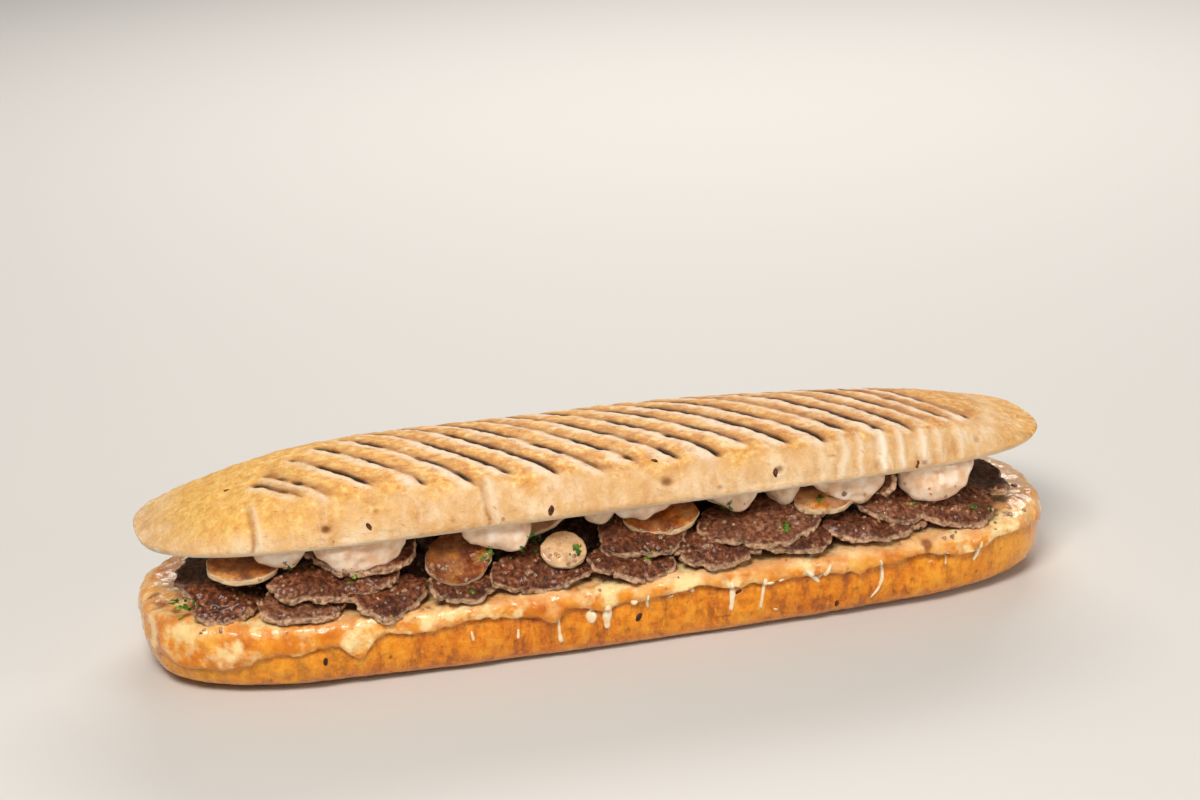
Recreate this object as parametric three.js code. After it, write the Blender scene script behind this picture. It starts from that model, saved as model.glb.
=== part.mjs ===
// Kebab panini: a long pressed roll split open, a sheet of melted cheese on its lower half, and a loose
// heap of kebab meat, fried mushroom slices and dollops of white sauce under its grilled upper half.
// Millimetres, +Z up, X along the roll, -Y the open side. The roll rests on its underside at z = 0.
import * as THREE from "three";

// The roll
const ROLL_LENGTH = 280;
const ROLL_WIDTH = 78;
const END_BLUNTNESS = 6.3;
const SIDE_ROUNDNESS = 2.5;
const LOWER_HEIGHT = 20.5;
const MOUTH_HEIGHT = 25.2;
const LID_TILT = THREE.MathUtils.degToRad(4);
const LID_SHOULDER = 11.4;
const LID_CROWN = 2.4;

// The grill marks pressed into the upper half
const GROOVE_COUNT = 20;
const GROOVE_PITCH = 14.2;
const GROOVE_CLOSING = 0.011;
const GROOVE_ANGLE = THREE.MathUtils.degToRad(55.8);
const GROOVE_DEPTH = 1.6;
const GROOVE_FLOOR = 0.8;
const GROOVE_EDGE = 2.0;
const FIRST_GROOVE = -107;
const PRESSED_INSET = 1.17;

// The filling
const CHEESE_THICKNESS = 2.4;
const SLICE_THICKNESS = 2.2;
const MUSHROOM_THICKNESS = 2.9;
const CLEARANCE = 0.35;

const HALF_LENGTH = ROLL_LENGTH / 2;
const HALF_WIDTH = ROLL_WIDTH / 2;
const GROOVE_SHEAR = 1 / Math.tan(GROOVE_ANGLE);
const LID_PIVOT = LOWER_HEIGHT + MOUTH_HEIGHT;

const crust = new THREE.MeshStandardMaterial({ color: "#c8842f", roughness: 0.45, metalness: 0 });
const toast = new THREE.MeshStandardMaterial({ color: "#e0b987", roughness: 0.75, metalness: 0 });
const cheese = new THREE.MeshStandardMaterial({ color: "#eac98c", roughness: 0.3, metalness: 0 });
const meat = new THREE.MeshStandardMaterial({ color: "#6b4a3a", roughness: 0.6, metalness: 0 });
const mushroom = new THREE.MeshStandardMaterial({ color: "#c98e4a", roughness: 0.45, metalness: 0 });
const sauce = new THREE.MeshStandardMaterial({ color: "#f0dccb", roughness: 0.25, metalness: 0 });

const panini = new THREE.Group();

// A repeatable random stream between 0 and 1.
function randomStream(seed) {
  let state = seed;
  return () => {
    state = (state + 0x6d2b79f5) | 0;
    let mixed = Math.imul(state ^ (state >>> 15), 1 | state);
    mixed = (mixed + Math.imul(mixed ^ (mixed >>> 7), 61 | mixed)) ^ mixed;
    return ((mixed ^ (mixed >>> 14)) >>> 0) / 4294967296;
  };
}

// Zero at the roll's middle line, one on its outline, seen from above.
function outlineLevel(x, y) {
  const along = Math.abs(x / HALF_LENGTH) ** END_BLUNTNESS;
  const across = Math.abs(y / HALF_WIDTH) ** SIDE_ROUNDNESS;
  return along + across;
}

function halfWidthAt(x) {
  const along = Math.min(1, Math.abs(x / HALF_LENGTH) ** END_BLUNTNESS);
  return HALF_WIDTH * (1 - along) ** (1 / SIDE_ROUNDNESS);
}

// Points around the roll, counterclockwise from the +X tip, closer together at the round ends,
// each with its outward normal.
function outlinePoints(count) {
  const dense = [];
  const fine = 4000;
  for (let i = 0; i <= fine; i += 1) {
    const turn = (2 * Math.PI * i) / fine;
    const reach = Math.cos(turn);
    const x = HALF_LENGTH * Math.sign(reach) * Math.abs(reach) ** 0.5;
    dense.push(new THREE.Vector2(x, Math.sign(Math.sin(turn)) * halfWidthAt(x)));
  }
  const travel = [0];
  for (let i = 1; i <= fine; i += 1) {
    const closeness = 1 + 1.6 * Math.abs(dense[i].x / HALF_LENGTH) ** 8;
    travel.push(travel[i - 1] + closeness * dense[i].distanceTo(dense[i - 1]));
  }
  const points = [];
  let at = 0;
  for (let k = 0; k < count; k += 1) {
    const wanted = (travel[fine] * k) / count;
    while (travel[at + 1] < wanted) at += 1;
    const share = (wanted - travel[at]) / (travel[at + 1] - travel[at]);
    const spot = dense[at].clone().lerp(dense[at + 1], share);
    const along = Math.abs(spot.x / HALF_LENGTH) ** (END_BLUNTNESS - 1);
    const across = Math.abs(spot.y / HALF_WIDTH) ** (SIDE_ROUNDNESS - 1);
    const slopeX = (END_BLUNTNESS * Math.sign(spot.x) * along) / HALF_LENGTH;
    const slopeY = (SIDE_ROUNDNESS * Math.sign(spot.y) * across) / HALF_WIDTH;
    points.push({ spot, normal: new THREE.Vector2(slopeX, slopeY).normalize() });
  }
  return points;
}

function addMesh(name, vertices, triangles, material) {
  const geometry = new THREE.BufferGeometry();
  const coordinates = vertices.flatMap((v) => [v.x, v.y, v.z]);
  geometry.setAttribute("position", new THREE.Float32BufferAttribute(coordinates, 3));
  geometry.setIndex(triangles.flat());
  geometry.computeVertexNormals();
  const mesh = new THREE.Mesh(geometry, material);
  mesh.name = name;
  panini.add(mesh);
  return mesh;
}

// Joins closed rings of equal length, given from the lowest outer one inwards or upwards, and closes
// both ends with a fan on the given end points.
function ringBody(rings, firstPole, lastPole) {
  const count = rings[0].length;
  const vertices = rings.flat();
  const triangles = [];
  rings.slice(1).forEach((_, band) => {
    for (let i = 0; i < count; i += 1) {
      const next = (i + 1) % count;
      const a = band * count + i;
      const b = band * count + next;
      triangles.push([a, b, b + count], [a, b + count, a + count]);
    }
  });
  const first = vertices.length;
  const last = first + 1;
  const top = (rings.length - 1) * count;
  vertices.push(firstPole, lastPole);
  for (let i = 0; i < count; i += 1) {
    const next = (i + 1) % count;
    triangles.push([first, next, i], [last, top + i, top + next]);
  }
  return { vertices, triangles };
}

// ---- Lower half of the roll: flat underside, rounded lower edge, full side, eased rim, cut face.
const LOWER_PROFILE = [
  { inset: 8, height: 0 },
  { inset: 4.2, height: 0.9 },
  { inset: 1.5, height: 3.4 },
  { inset: 0.3, height: 7.5 },
  { inset: 0, height: 12.5 },
  { inset: 0.7, height: 17.4 },
  { inset: 2.2, height: 20 },
  { inset: 4.5, height: LOWER_HEIGHT },
];

// The lower edge draws in more towards the two round ends.
const END_DRAW_IN = 1.6;

const lowerOutline = outlinePoints(56);
const lowerRings = LOWER_PROFILE.map(({ inset, height }) =>
  lowerOutline.map(({ spot, normal }) => {
    const below = Math.max(0, 1 - height / 12.5);
    const drawn = inset * (1 + END_DRAW_IN * below * (spot.x / HALF_LENGTH) ** 2);
    const place = spot.clone().addScaledVector(normal, -drawn);
    return new THREE.Vector3(place.x, place.y, height);
  }),
);
const lowerBody = ringBody(
  lowerRings,
  new THREE.Vector3(0, 0, 0),
  new THREE.Vector3(0, 0, LOWER_HEIGHT),
);
const lowerBun = addMesh("bottom_bun", lowerBody.vertices, lowerBody.triangles, crust);

// ---- Melted cheese: a sheet over the cut face that runs over the rim in uneven tongues.
function cheeseDrop(x, y) {
  const tongues = 0.55 * Math.sin(x * 0.19 + 0.6) + 0.45 * Math.sin(x * 0.083 + 2.1);
  const heavyEnd = 7.5 * Math.exp(-(((x + 126) / 27) ** 2));
  const openSide = y < 0 ? 1 : 0.75;
  return openSide * (2.9 + 1.5 * tongues + heavyEnd);
}

const CHEESE_BULGE = 1.9;
const cheeseRings = [[], [], [], [], [], [], [], []];
lowerOutline.forEach(({ spot, normal }) => {
  const drop = cheeseDrop(spot.x, spot.y);
  const thinEnd = 1 - 0.75 * (spot.x / HALF_LENGTH) ** 6;
  const swell = CHEESE_BULGE * (0.8 + 0.2 * Math.sin(spot.x * 0.31)) * thinEnd;
  const lip = LOWER_HEIGHT - drop;
  const profile = [
    { out: -4.8, height: LOWER_HEIGHT + CLEARANCE },
    { out: -1.7, height: LOWER_HEIGHT + CLEARANCE - 0.4 },
    { out: -0.1, height: lip + 0.7 + 0.6 * (LOWER_HEIGHT - 0.75 - lip) },
    { out: 0.75, height: lip + 0.7 },
    { out: 0.9 + 0.5 * swell, height: lip },
    { out: 0.7 + swell, height: lip + 0.45 * (drop + 1) },
    { out: 0.1 + 0.4 * swell, height: LOWER_HEIGHT + 1.5 },
    { out: -4.5, height: LOWER_HEIGHT + CLEARANCE + CHEESE_THICKNESS },
  ];
  profile.forEach(({ out, height }, ring) => {
    const place = spot.clone().addScaledVector(normal, out);
    cheeseRings[ring].push(new THREE.Vector3(place.x, place.y, height));
  });
});
const cheeseBody = ringBody(
  cheeseRings,
  new THREE.Vector3(0, 0, LOWER_HEIGHT + CLEARANCE),
  new THREE.Vector3(0, 0, LOWER_HEIGHT + CLEARANCE + CHEESE_THICKNESS),
);
const cheeseSheet = addMesh("melted_cheese", cheeseBody.vertices, cheeseBody.triangles, cheese);

// ---- Upper half of the roll, laid out flat on its cut face and then tipped back over the filling.
// Its mesh runs along the grill marks, so that each mark is a true groove.
const LID_EDGE = 1.4;
const LID_UNDERCUT = 0.8;

function lidHeight(x, y) {
  const along = x / HALF_LENGTH;
  const level = Math.min(1, outlineLevel(x, y));
  const leftRise = 5.2 * Math.min(1, Math.max(0, -along) / 0.64) ** 1.5;
  const shoulder = LID_SHOULDER + leftRise + 2 * Math.max(0, along);
  const crown = LID_CROWN * (1 - (y / HALF_WIDTH) ** 2);
  const fallRate = 0.22 + (along > 0 ? 2.4 : 1.1) * along * along;
  const backFall = 1 - Math.min(0.95, fallRate * Math.max(0, y / HALF_WIDTH) ** 2);
  const tipTaper = Math.max(0, 1 - along ** 4);
  const wall = (1 - level ** 3.6) ** 0.45;
  return LID_EDGE + (shoulder + crown) * backFall * tipTaper * wall;
}

// The marks stand closer together towards the right end. The first is a stub beside the second.
const grooves = Array.from({ length: GROOVE_COUNT }, (_, i) => {
  const order = Math.max(i - 1, -0.45);
  const centre = FIRST_GROOVE + GROOVE_PITCH * order * (1 - GROOVE_CLOSING * order);
  return { centre, depth: GROOVE_DEPTH * (0.9 + 0.15 * Math.sin(2.3 * i)) };
});

// How firmly the plate pressed a place of the lid: fully on its flat top, not at all on its walls,
// nor on the far left shoulder, which falls away.
function pressedAt(x, y) {
  const inset = outlineLevel(PRESSED_INSET * x, PRESSED_INSET * y);
  const flatTop = THREE.MathUtils.clamp((1.05 - inset) / 0.2, 0, 1);
  const farLeft = 15 + 0.9 * (x + 76) - y;
  return flatTop * THREE.MathUtils.clamp(farLeft / 4, 0, 1);
}

function grooveCut(groove, aside, pressed) {
  const profile = (GROOVE_EDGE - Math.abs(aside)) / (GROOVE_EDGE - GROOVE_FLOOR);
  return groove.depth * THREE.MathUtils.clamp(profile, 0, 1) * pressed;
}

// Where the line x + shear * y = start leaves the roll's outline on one side (-1 near, 1 far).
function lineEnd(start, side, inner) {
  let inside = inner;
  let outside = side * HALF_WIDTH * 1.02;
  for (let i = 0; i < 50; i += 1) {
    const middle = (inside + outside) / 2;
    if (outlineLevel(start - GROOVE_SHEAR * middle, middle) < 1) inside = middle;
    else outside = middle;
  }
  return inside;
}

// The place on a slanted line that lies deepest inside the outline.
function lineHeart(start) {
  let low = -HALF_WIDTH;
  let high = HALF_WIDTH;
  for (let i = 0; i < 60; i += 1) {
    const first = low + (high - low) / 3;
    const second = high - (high - low) / 3;
    const firstLevel = outlineLevel(start - GROOVE_SHEAR * first, first);
    const secondLevel = outlineLevel(start - GROOVE_SHEAR * second, second);
    if (firstLevel < secondLevel) high = second;
    else low = first;
  }
  return (low + high) / 2;
}

function lineTouches(start) {
  const heart = lineHeart(start);
  return outlineLevel(start - GROOVE_SHEAR * heart, heart) < 1;
}

// The slanted line that just touches the outline, searched outwards from a line that crosses it.
function lastLine(direction) {
  let crossing = 0;
  let missing = direction * (HALF_LENGTH + GROOVE_SHEAR * HALF_WIDTH);
  for (let i = 0; i < 50; i += 1) {
    const middle = (crossing + missing) / 2;
    if (lineTouches(middle)) crossing = middle;
    else missing = middle;
  }
  return crossing;
}

const firstStart = lastLine(-1);
const finalStart = lastLine(1);
const grooveLines = grooves.flatMap((groove) =>
  [-GROOVE_EDGE, -GROOVE_FLOOR, GROOVE_FLOOR, GROOVE_EDGE].map((aside) => groove.centre + aside),
);
const END_SHARES = [0.02, 0.08, 0.18, 0.32, 0.5, 0.7, 0.9];
const leadLines = END_SHARES.map((share) => firstStart + share * (grooveLines[0] - firstStart));
const lastGrooveLine = grooveLines[grooveLines.length - 1];
const tailLines = END_SHARES.map((share) => finalStart + share * (lastGrooveLine - finalStart)).reverse();
const lidLines = [...leadLines, ...grooveLines, ...tailLines];
const LID_ROWS = [-1, -0.99, -0.96, -0.9, -0.8, -0.5, -0.1, 0.35, 0.7, 0.88, 0.96, 1];

const lidColumns = lidLines.map((start) => {
  const heart = lineHeart(start);
  const near = lineEnd(start, -1, heart);
  const far = lineEnd(start, 1, heart);
  const place = (share, height) => {
    const y = (near + far) / 2 + (share * (far - near)) / 2;
    return new THREE.Vector3(start - GROOVE_SHEAR * y, y, height);
  };
  const upper = LID_ROWS.map((share) => {
    const spot = place(share, 0);
    const pressed = pressedAt(spot.x, spot.y);
    const cut = grooves.reduce((sum, groove) => sum + grooveCut(groove, start - groove.centre, pressed), 0);
    spot.z = Math.max(LID_EDGE, lidHeight(spot.x, spot.y) - cut);
    return spot;
  });
  const undercut = 1 - (2 * LID_UNDERCUT) / (far - near + 2 * LID_UNDERCUT);
  return [place(-undercut, 0), ...upper, place(undercut, 0)];
});
const lidVertices = lidColumns.flat();
const lidTriangles = [];
const columnSize = LID_ROWS.length + 2;
for (let column = 0; column + 1 < lidColumns.length; column += 1) {
  const here = column * columnSize;
  const there = here + columnSize;
  for (let row = 0; row < columnSize; row += 1) {
    const next = (row + 1) % columnSize;
    lidTriangles.push([here + row, there + row, there + next], [here + row, there + next, here + next]);
  }
}
function closeLidEnd(column, start, direction) {
  const heart = lineHeart(start);
  const tip = new THREE.Vector3(start - GROOVE_SHEAR * heart, heart, LID_EDGE);
  const pole = lidVertices.push(tip) - 1;
  for (let row = 0; row < columnSize; row += 1) {
    const a = column * columnSize + row;
    const b = column * columnSize + ((row + 1) % columnSize);
    lidTriangles.push(direction > 0 ? [pole, b, a] : [pole, a, b]);
  }
}
closeLidEnd(0, firstStart, -1);
closeLidEnd(lidColumns.length - 1, finalStart, 1);

// The cut face of the tipped lid stands at this height over a place in the roll.
function lidUnderside(y) {
  return LID_PIVOT - (y + HALF_WIDTH) * Math.tan(LID_TILT);
}

const lid = addMesh("top_bun", lidVertices, lidTriangles, toast);
lid.rotation.x = -LID_TILT;
lid.position.z = lidUnderside(0);

// ---- The heap. A grid of heights keeps what is already in the roll, and each new piece is let down
// on it until it would touch, so that the pieces lie on each other and none cuts into another.
const CELL = 0.6;
const GRID_X = Math.ceil((ROLL_LENGTH + 20) / CELL);
const GRID_Y = Math.ceil((ROLL_WIDTH + 30) / CELL);
const heights = new Float32Array(GRID_X * GRID_Y);

function gridIndex(x, y) {
  const column = Math.floor(x / CELL + GRID_X / 2);
  const row = Math.floor(y / CELL + GRID_Y / 2);
  if (column < 1 || row < 1 || column > GRID_X - 2 || row > GRID_Y - 2) return -1;
  return row * GRID_X + column;
}

// Calls visit(cell, height) for close-set points all over a triangle.
function walkTriangle(a, b, c, visit) {
  const longest = Math.max(a.distanceTo(b), b.distanceTo(c), c.distanceTo(a));
  const steps = Math.ceil((2 * longest) / CELL);
  for (let i = 0; i <= steps; i += 1) {
    for (let j = 0; j <= steps - i; j += 1) {
      const p = i / steps;
      const q = j / steps;
      const r = 1 - p - q;
      const cell = gridIndex(a.x * p + b.x * q + c.x * r, a.y * p + b.y * q + c.y * r);
      if (cell >= 0) visit(cell, a.z * p + b.z * q + c.z * r);
    }
  }
}

function raiseHeights(vertices, triangles) {
  triangles.forEach(([a, b, c]) => {
    walkTriangle(vertices[a], vertices[b], vertices[c], (cell, height) => {
      heights[cell] = Math.max(heights[cell], height);
    });
  });
}

function heightAround(cell) {
  let highest = 0;
  for (let row = -1; row <= 1; row += 1) {
    for (let column = -1; column <= 1; column += 1) {
      highest = Math.max(highest, heights[cell + row * GRID_X + column]);
    }
  }
  return highest;
}

function liftNeeded(vertices, triangles) {
  let lift = -Infinity;
  triangles.forEach(([a, b, c]) => {
    walkTriangle(vertices[a], vertices[b], vertices[c], (cell, height) => {
      lift = Math.max(lift, heightAround(cell) + CLEARANCE - height);
    });
  });
  return lift;
}

raiseHeights(lowerBody.vertices, lowerBody.triangles);
raiseHeights(cheeseBody.vertices, cheeseBody.triangles);

// A bent plate: two faces of rings around a middle point, joined at the rim. The plate's own X runs
// along it. bend gives its middle surface's height, half gives half its thickness from middle to rim.
function plateBody({ edge, segments, bend, half }) {
  const ringShares = [0.58, 1];
  const faces = [-1, 1].map((side) => {
    const rings = ringShares.map((share) =>
      Array.from({ length: segments }, (_, i) => {
        const rim = edge((2 * Math.PI * i) / segments);
        const spot = rim.multiplyScalar(share);
        return new THREE.Vector3(spot.x, spot.y, bend(spot.x, spot.y) + side * half(share));
      }),
    );
    return { rings, middle: new THREE.Vector3(0, 0, bend(0, 0) + side * half(0)) };
  });
  const [under, over] = faces;
  return ringBody([...under.rings, ...over.rings.slice().reverse()], under.middle, over.middle);
}

// Lets a plate down into the roll. lean tips its near edge down, roll its right end, turn spins it
// on the spot; rest is the least height of its lowest point.
function letDown(name, body, place, material, ceiling = false) {
  const pose = new THREE.Euler(
    THREE.MathUtils.degToRad(place.lean ?? 0),
    THREE.MathUtils.degToRad(place.roll ?? 0),
    THREE.MathUtils.degToRad(place.turn ?? 0),
    "XYZ",
  );
  const vertices = body.vertices.map((vertex) => {
    const spun = vertex.clone().applyEuler(pose);
    return spun.add(new THREE.Vector3(place.x, place.y, 0));
  });
  const lowest = Math.min(...vertices.map((vertex) => vertex.z));
  const lift = Math.max(liftNeeded(vertices, body.triangles), (place.rest ?? 0) - lowest);
  vertices.forEach((vertex) => {
    vertex.z += lift;
    if (ceiling) vertex.z = Math.min(vertex.z, lidUnderside(vertex.y) - CLEARANCE);
  });
  raiseHeights(vertices, body.triangles);
  return addMesh(name, vertices, body.triangles, material);
}

// ---- The middle of the heap: fine meat shavings pressed together, which the slices lie on.
const MOUND_LENGTH = 238;
const MOUND_WIDTH = 40;
const MOUND_CENTRE = new THREE.Vector2(-4, 2);
const MOUND_PROFILE = [
  { share: 1, height: 0 },
  { share: 0.98, height: 4.5 },
  { share: 0.84, height: 8.5 },
  { share: 0.6, height: 12.5 },
  { share: 0.3, height: 16 },
];
const MOUND_SEGMENTS = 40;
const moundFloor = LOWER_HEIGHT + CHEESE_THICKNESS + 2 * CLEARANCE;
const moundRings = MOUND_PROFILE.map(({ share, height }) =>
  Array.from({ length: MOUND_SEGMENTS }, (_, i) => {
    const turn = (2 * Math.PI * i) / MOUND_SEGMENTS;
    const along = Math.sign(Math.cos(turn)) * Math.abs(Math.cos(turn)) ** 0.45;
    const across = Math.sign(Math.sin(turn)) * Math.abs(Math.sin(turn)) ** 0.8;
    const x = MOUND_CENTRE.x + (share * along * MOUND_LENGTH) / 2;
    const y = MOUND_CENTRE.y + (share * across * MOUND_WIDTH) / 2;
    const lump = Math.sin(x * 0.21 + y * 0.13) + 0.7 * Math.sin(x * 0.47 - y * 0.31 + 1);
    const endFall = 1 - 0.35 * Math.abs(share * along) ** 4;
    return new THREE.Vector3(x, y, moundFloor + height * endFall * (1 + 0.06 * lump));
  }),
);
const moundBody = ringBody(
  moundRings,
  new THREE.Vector3(MOUND_CENTRE.x, MOUND_CENTRE.y, moundFloor),
  new THREE.Vector3(MOUND_CENTRE.x, MOUND_CENTRE.y, moundFloor + 17),
);
raiseHeights(moundBody.vertices, moundBody.triangles);
addMesh("meat_mound", moundBody.vertices, moundBody.triangles, meat);

// ---- Kebab meat: thin slices shaved from the spit, ragged round the edge, curled and rumpled.
const meatRandom = randomStream(41);
let meatCount = 0;
function addMeat(place) {
  meatCount += 1;
  const phases = Array.from({ length: 5 }, () => 2 * Math.PI * meatRandom());
  const thickness = SLICE_THICKNESS * (0.85 + 0.3 * meatRandom());
  const rumple = place.rumple ?? 1;
  const edge = (angle) => {
    const ragged = 0.09 * Math.sin(2 * angle + phases[0]) + 0.08 * Math.sin(3 * angle + phases[1]);
    const reach = 1 + ragged + 0.06 * Math.sin(5 * angle + phases[2]);
    return new THREE.Vector2(place.long * reach * Math.cos(angle), place.deep * reach * Math.sin(angle));
  };
  const bend = (x, y) => {
    const curl = (place.curl ?? 0) * (x / place.long) ** 2;
    const cup = (place.cup ?? 0) * (y / place.deep) ** 2;
    const droop = (place.droop ?? 0) * Math.max(0, -y / place.deep) ** 2;
    const wave = Math.sin(x * 0.23 + phases[3]) * Math.sin(y * 0.17 + phases[4]);
    return curl + cup - droop + rumple * wave;
  };
  const half = (share) => (thickness / 2) * (1 - 0.25 * share * share);
  const name = `meat_${String(meatCount).padStart(2, "0")}`;
  return letDown(name, plateBody({ edge, segments: place.long > 18 ? 14 : 12, bend, half }), place, meat);
}

// ---- Fried mushroom: slices cut through the cap, domed on one side and flatter on the other.
let mushroomCount = 0;
function addMushroom(place) {
  mushroomCount += 1;
  const edge = (angle) => {
    const depth = Math.sin(angle) > 0 ? place.dome : place.flat;
    return new THREE.Vector2(place.size * Math.cos(angle), depth * Math.sin(angle));
  };
  const bend = (x, y) => (place.curl ?? 0) * (x / place.size) ** 2 + (place.cup ?? 0) * (y / place.size) ** 2;
  const half = (share) => (MUSHROOM_THICKNESS / 2) * (1 - 0.35 * share * share);
  const name = `mushroom_${String(mushroomCount).padStart(2, "0")}`;
  return letDown(name, plateBody({ edge, segments: 14, bend, half }), place, mushroom);
}

// ---- White sauce: thick dollops that sit in the hollows of the heap and touch the lid.
const sauceRandom = randomStream(5);
const SAUCE_SQUEEZE = 1.2;
let sauceCount = 0;
function addSauce(place) {
  sauceCount += 1;
  const phases = Array.from({ length: 2 }, () => 2 * Math.PI * sauceRandom());
  const edge = (angle) => {
    const reach = 1 + 0.12 * Math.sin(2 * angle + phases[0]) + 0.08 * Math.sin(3 * angle + phases[1]);
    return new THREE.Vector2(place.long * reach * Math.cos(angle), place.deep * reach * Math.sin(angle));
  };
  const dollop = (tall) => {
    const bend = (x, y) => 0.16 * tall * ((x / place.long) ** 2 + (y / place.deep) ** 2);
    const half = (share) => (tall / 2) * Math.sqrt(1 - 0.85 * share * share);
    return plateBody({ edge, segments: 10, bend, half });
  };
  const trial = dollop(4);
  const spots = trial.vertices.map((vertex) => vertex.clone().add(new THREE.Vector3(place.x, place.y, 0)));
  const seat = liftNeeded(spots, trial.triangles) - 2;
  const room = lidUnderside(place.y) - seat;
  const tall = THREE.MathUtils.clamp(room + SAUCE_SQUEEZE, 2.5, place.tall);
  letDown(`sauce_${String(sauceCount).padStart(2, "0")}`, dollop(tall), place, sauce, true);
}

// ---- The open side. First the slices that lie on the cheese along its rim, from -X to +X, each with
// its left end on the one before it and its right end down.
const RIM_SLICES = [
  { x: -117, y: -22, long: 13, deep: 9, turn: -22 },
  { x: -95, y: -30, long: 12, deep: 8, turn: -8 },
  { x: -71, y: -33, long: 12.5, deep: 8, turn: 0 },
  { x: -48, y: -33, long: 11.5, deep: 7.5, turn: 4 },
  { x: -24, y: -33, long: 14, deep: 7.5, turn: 0 },
  { x: 4, y: -33, long: 14, deep: 8.5, turn: 2 },
  { x: 29, y: -32, long: 13, deep: 8, turn: -3 },
  { x: 52, y: -33, long: 12, deep: 7.5, turn: 2 },
  { x: 78, y: -32, long: 15, deep: 8, turn: 2 },
  { x: 105, y: -27, long: 14, deep: 9, turn: 10 },
];
RIM_SLICES.forEach((place) => addMeat({ ...place, lean: 1, roll: 5, droop: 3.2, rumple: 0 }));
// Then those that lie over them.
addMeat({ x: -85, y: -29, long: 18.5, deep: 9.5, lean: 3, turn: 4, roll: 1, droop: 4, rumple: 0 });
addMushroom({ x: -48, y: -30, size: 10.5, dome: 8.5, flat: 9, lean: 32, turn: 24, curl: 1 });
addMushroom({ x: -17, y: -32.5, size: 7, dome: 6, flat: 5.5, lean: 34, turn: -12 });
addMeat({ x: 8, y: -29, long: 12, deep: 9, lean: 3, turn: 6, roll: 2, droop: 3, rumple: 0 });
addMeat({ x: 46, y: -29, long: 20, deep: 10.5, lean: 3, turn: -3, roll: 1, droop: 4, rumple: 0 });
addMeat({ x: 88, y: -26, long: 15, deep: 8.5, lean: 3, turn: 4, roll: 2, droop: 3, rumple: 0 });
// Then those behind, up to the lid.
addMeat({ x: -117, y: -9, long: 13, deep: 11, lean: 4, turn: 10, rumple: 0.3 });
addMushroom({ x: -111, y: -24, size: 10.5, dome: 9, flat: 6, lean: 10, turn: -10, curl: 1 });
addMeat({ x: -76, y: -24, long: 17, deep: 9.5, curl: 2.5, lean: -2, droop: 1.5, rumple: 0 });
addMushroom({ x: -25, y: -22, size: 14, dome: 8, flat: 7, lean: 12, roll: -12, turn: 8 });
addMeat({ x: -54, y: -10, long: 13, deep: 7.5, lean: 2, turn: -12, rumple: 0.3 });
addMushroom({ x: 14, y: -27, size: 11.5, dome: 8, flat: 6, lean: 14, turn: -6, curl: 1 });
addMeat({ x: -3, y: -13, long: 10, deep: 7, lean: 4, turn: -14, rumple: 0 });
addMeat({ x: 33, y: -12, long: 13, deep: 8, lean: 4, turn: 10, roll: -4, rumple: 0.3 });
addMushroom({ x: 65, y: -29, size: 10, dome: 7, flat: 5.5, lean: 8, turn: 6 });
addMeat({ x: 84, y: -27, long: 5, deep: 6, lean: 8, roll: -48, turn: 6 });
addMeat({ x: 64, y: -11, long: 13, deep: 7, lean: 4, turn: 4, rumple: 0 });
addMeat({ x: 120, y: -9, long: 9, deep: 12, lean: 4, turn: -8, rumple: 0.3 });
addMeat({ x: 101, y: -9, long: 13, deep: 8, lean: 4, turn: -6, rumple: 0.3 });

// ---- The closed side: a row on the cheese along the far rim, and a row over its joins.
const FAR_STEP = 41;
for (let i = 0; i < 6; i += 1) {
  const reach = i === 0 || i === 5 ? 27 : 31;
  const turn = 10 * (meatRandom() - 0.5);
  addMeat({ x: (i - 2.5) * FAR_STEP, y: reach, long: 18, deep: 9, lean: -12, turn, rumple: 0.3 });
}
for (let i = 0; i < 5; i += 1) {
  const x = (i - 2) * FAR_STEP;
  const turn = 10 * (meatRandom() - 0.5);
  if (i === 1) addMushroom({ x, y: 25, size: 13, dome: 9, flat: 7, lean: -16, turn });
  else addMeat({ x, y: 24, long: 17, deep: 9.5, lean: -14, turn, rumple: 0.3 });
}

[
  { x: -99, y: -25, long: 8, deep: 5.5, tall: 9 },
  { x: -77, y: -29, long: 11.5, deep: 6.5, tall: 12 },
  { x: -37, y: -29, long: 9, deep: 6, tall: 13 },
  { x: -5, y: -24, long: 5.5, deep: 5, tall: 8 },
  { x: 10, y: -25, long: 10, deep: 5.5, tall: 10 },
  { x: 37, y: -26, long: 7.5, deep: 5.5, tall: 10 },
  { x: 53, y: -23, long: 5, deep: 5, tall: 9 },
  { x: 71, y: -28, long: 9, deep: 5.5, tall: 11 },
  { x: 101, y: -27, long: 12, deep: 7, tall: 13 },
  { x: -61, y: 24, long: 6, deep: 6, tall: 8 },
  { x: 62, y: 24, long: 6, deep: 6, tall: 8 },
].forEach(addSauce);

export default panini;
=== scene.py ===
import itertools
import math

import bmesh
import bpy
import numpy as np
from mathutils import Matrix, Quaternion, Vector
from mathutils.bvhtree import BVHTree


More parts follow.
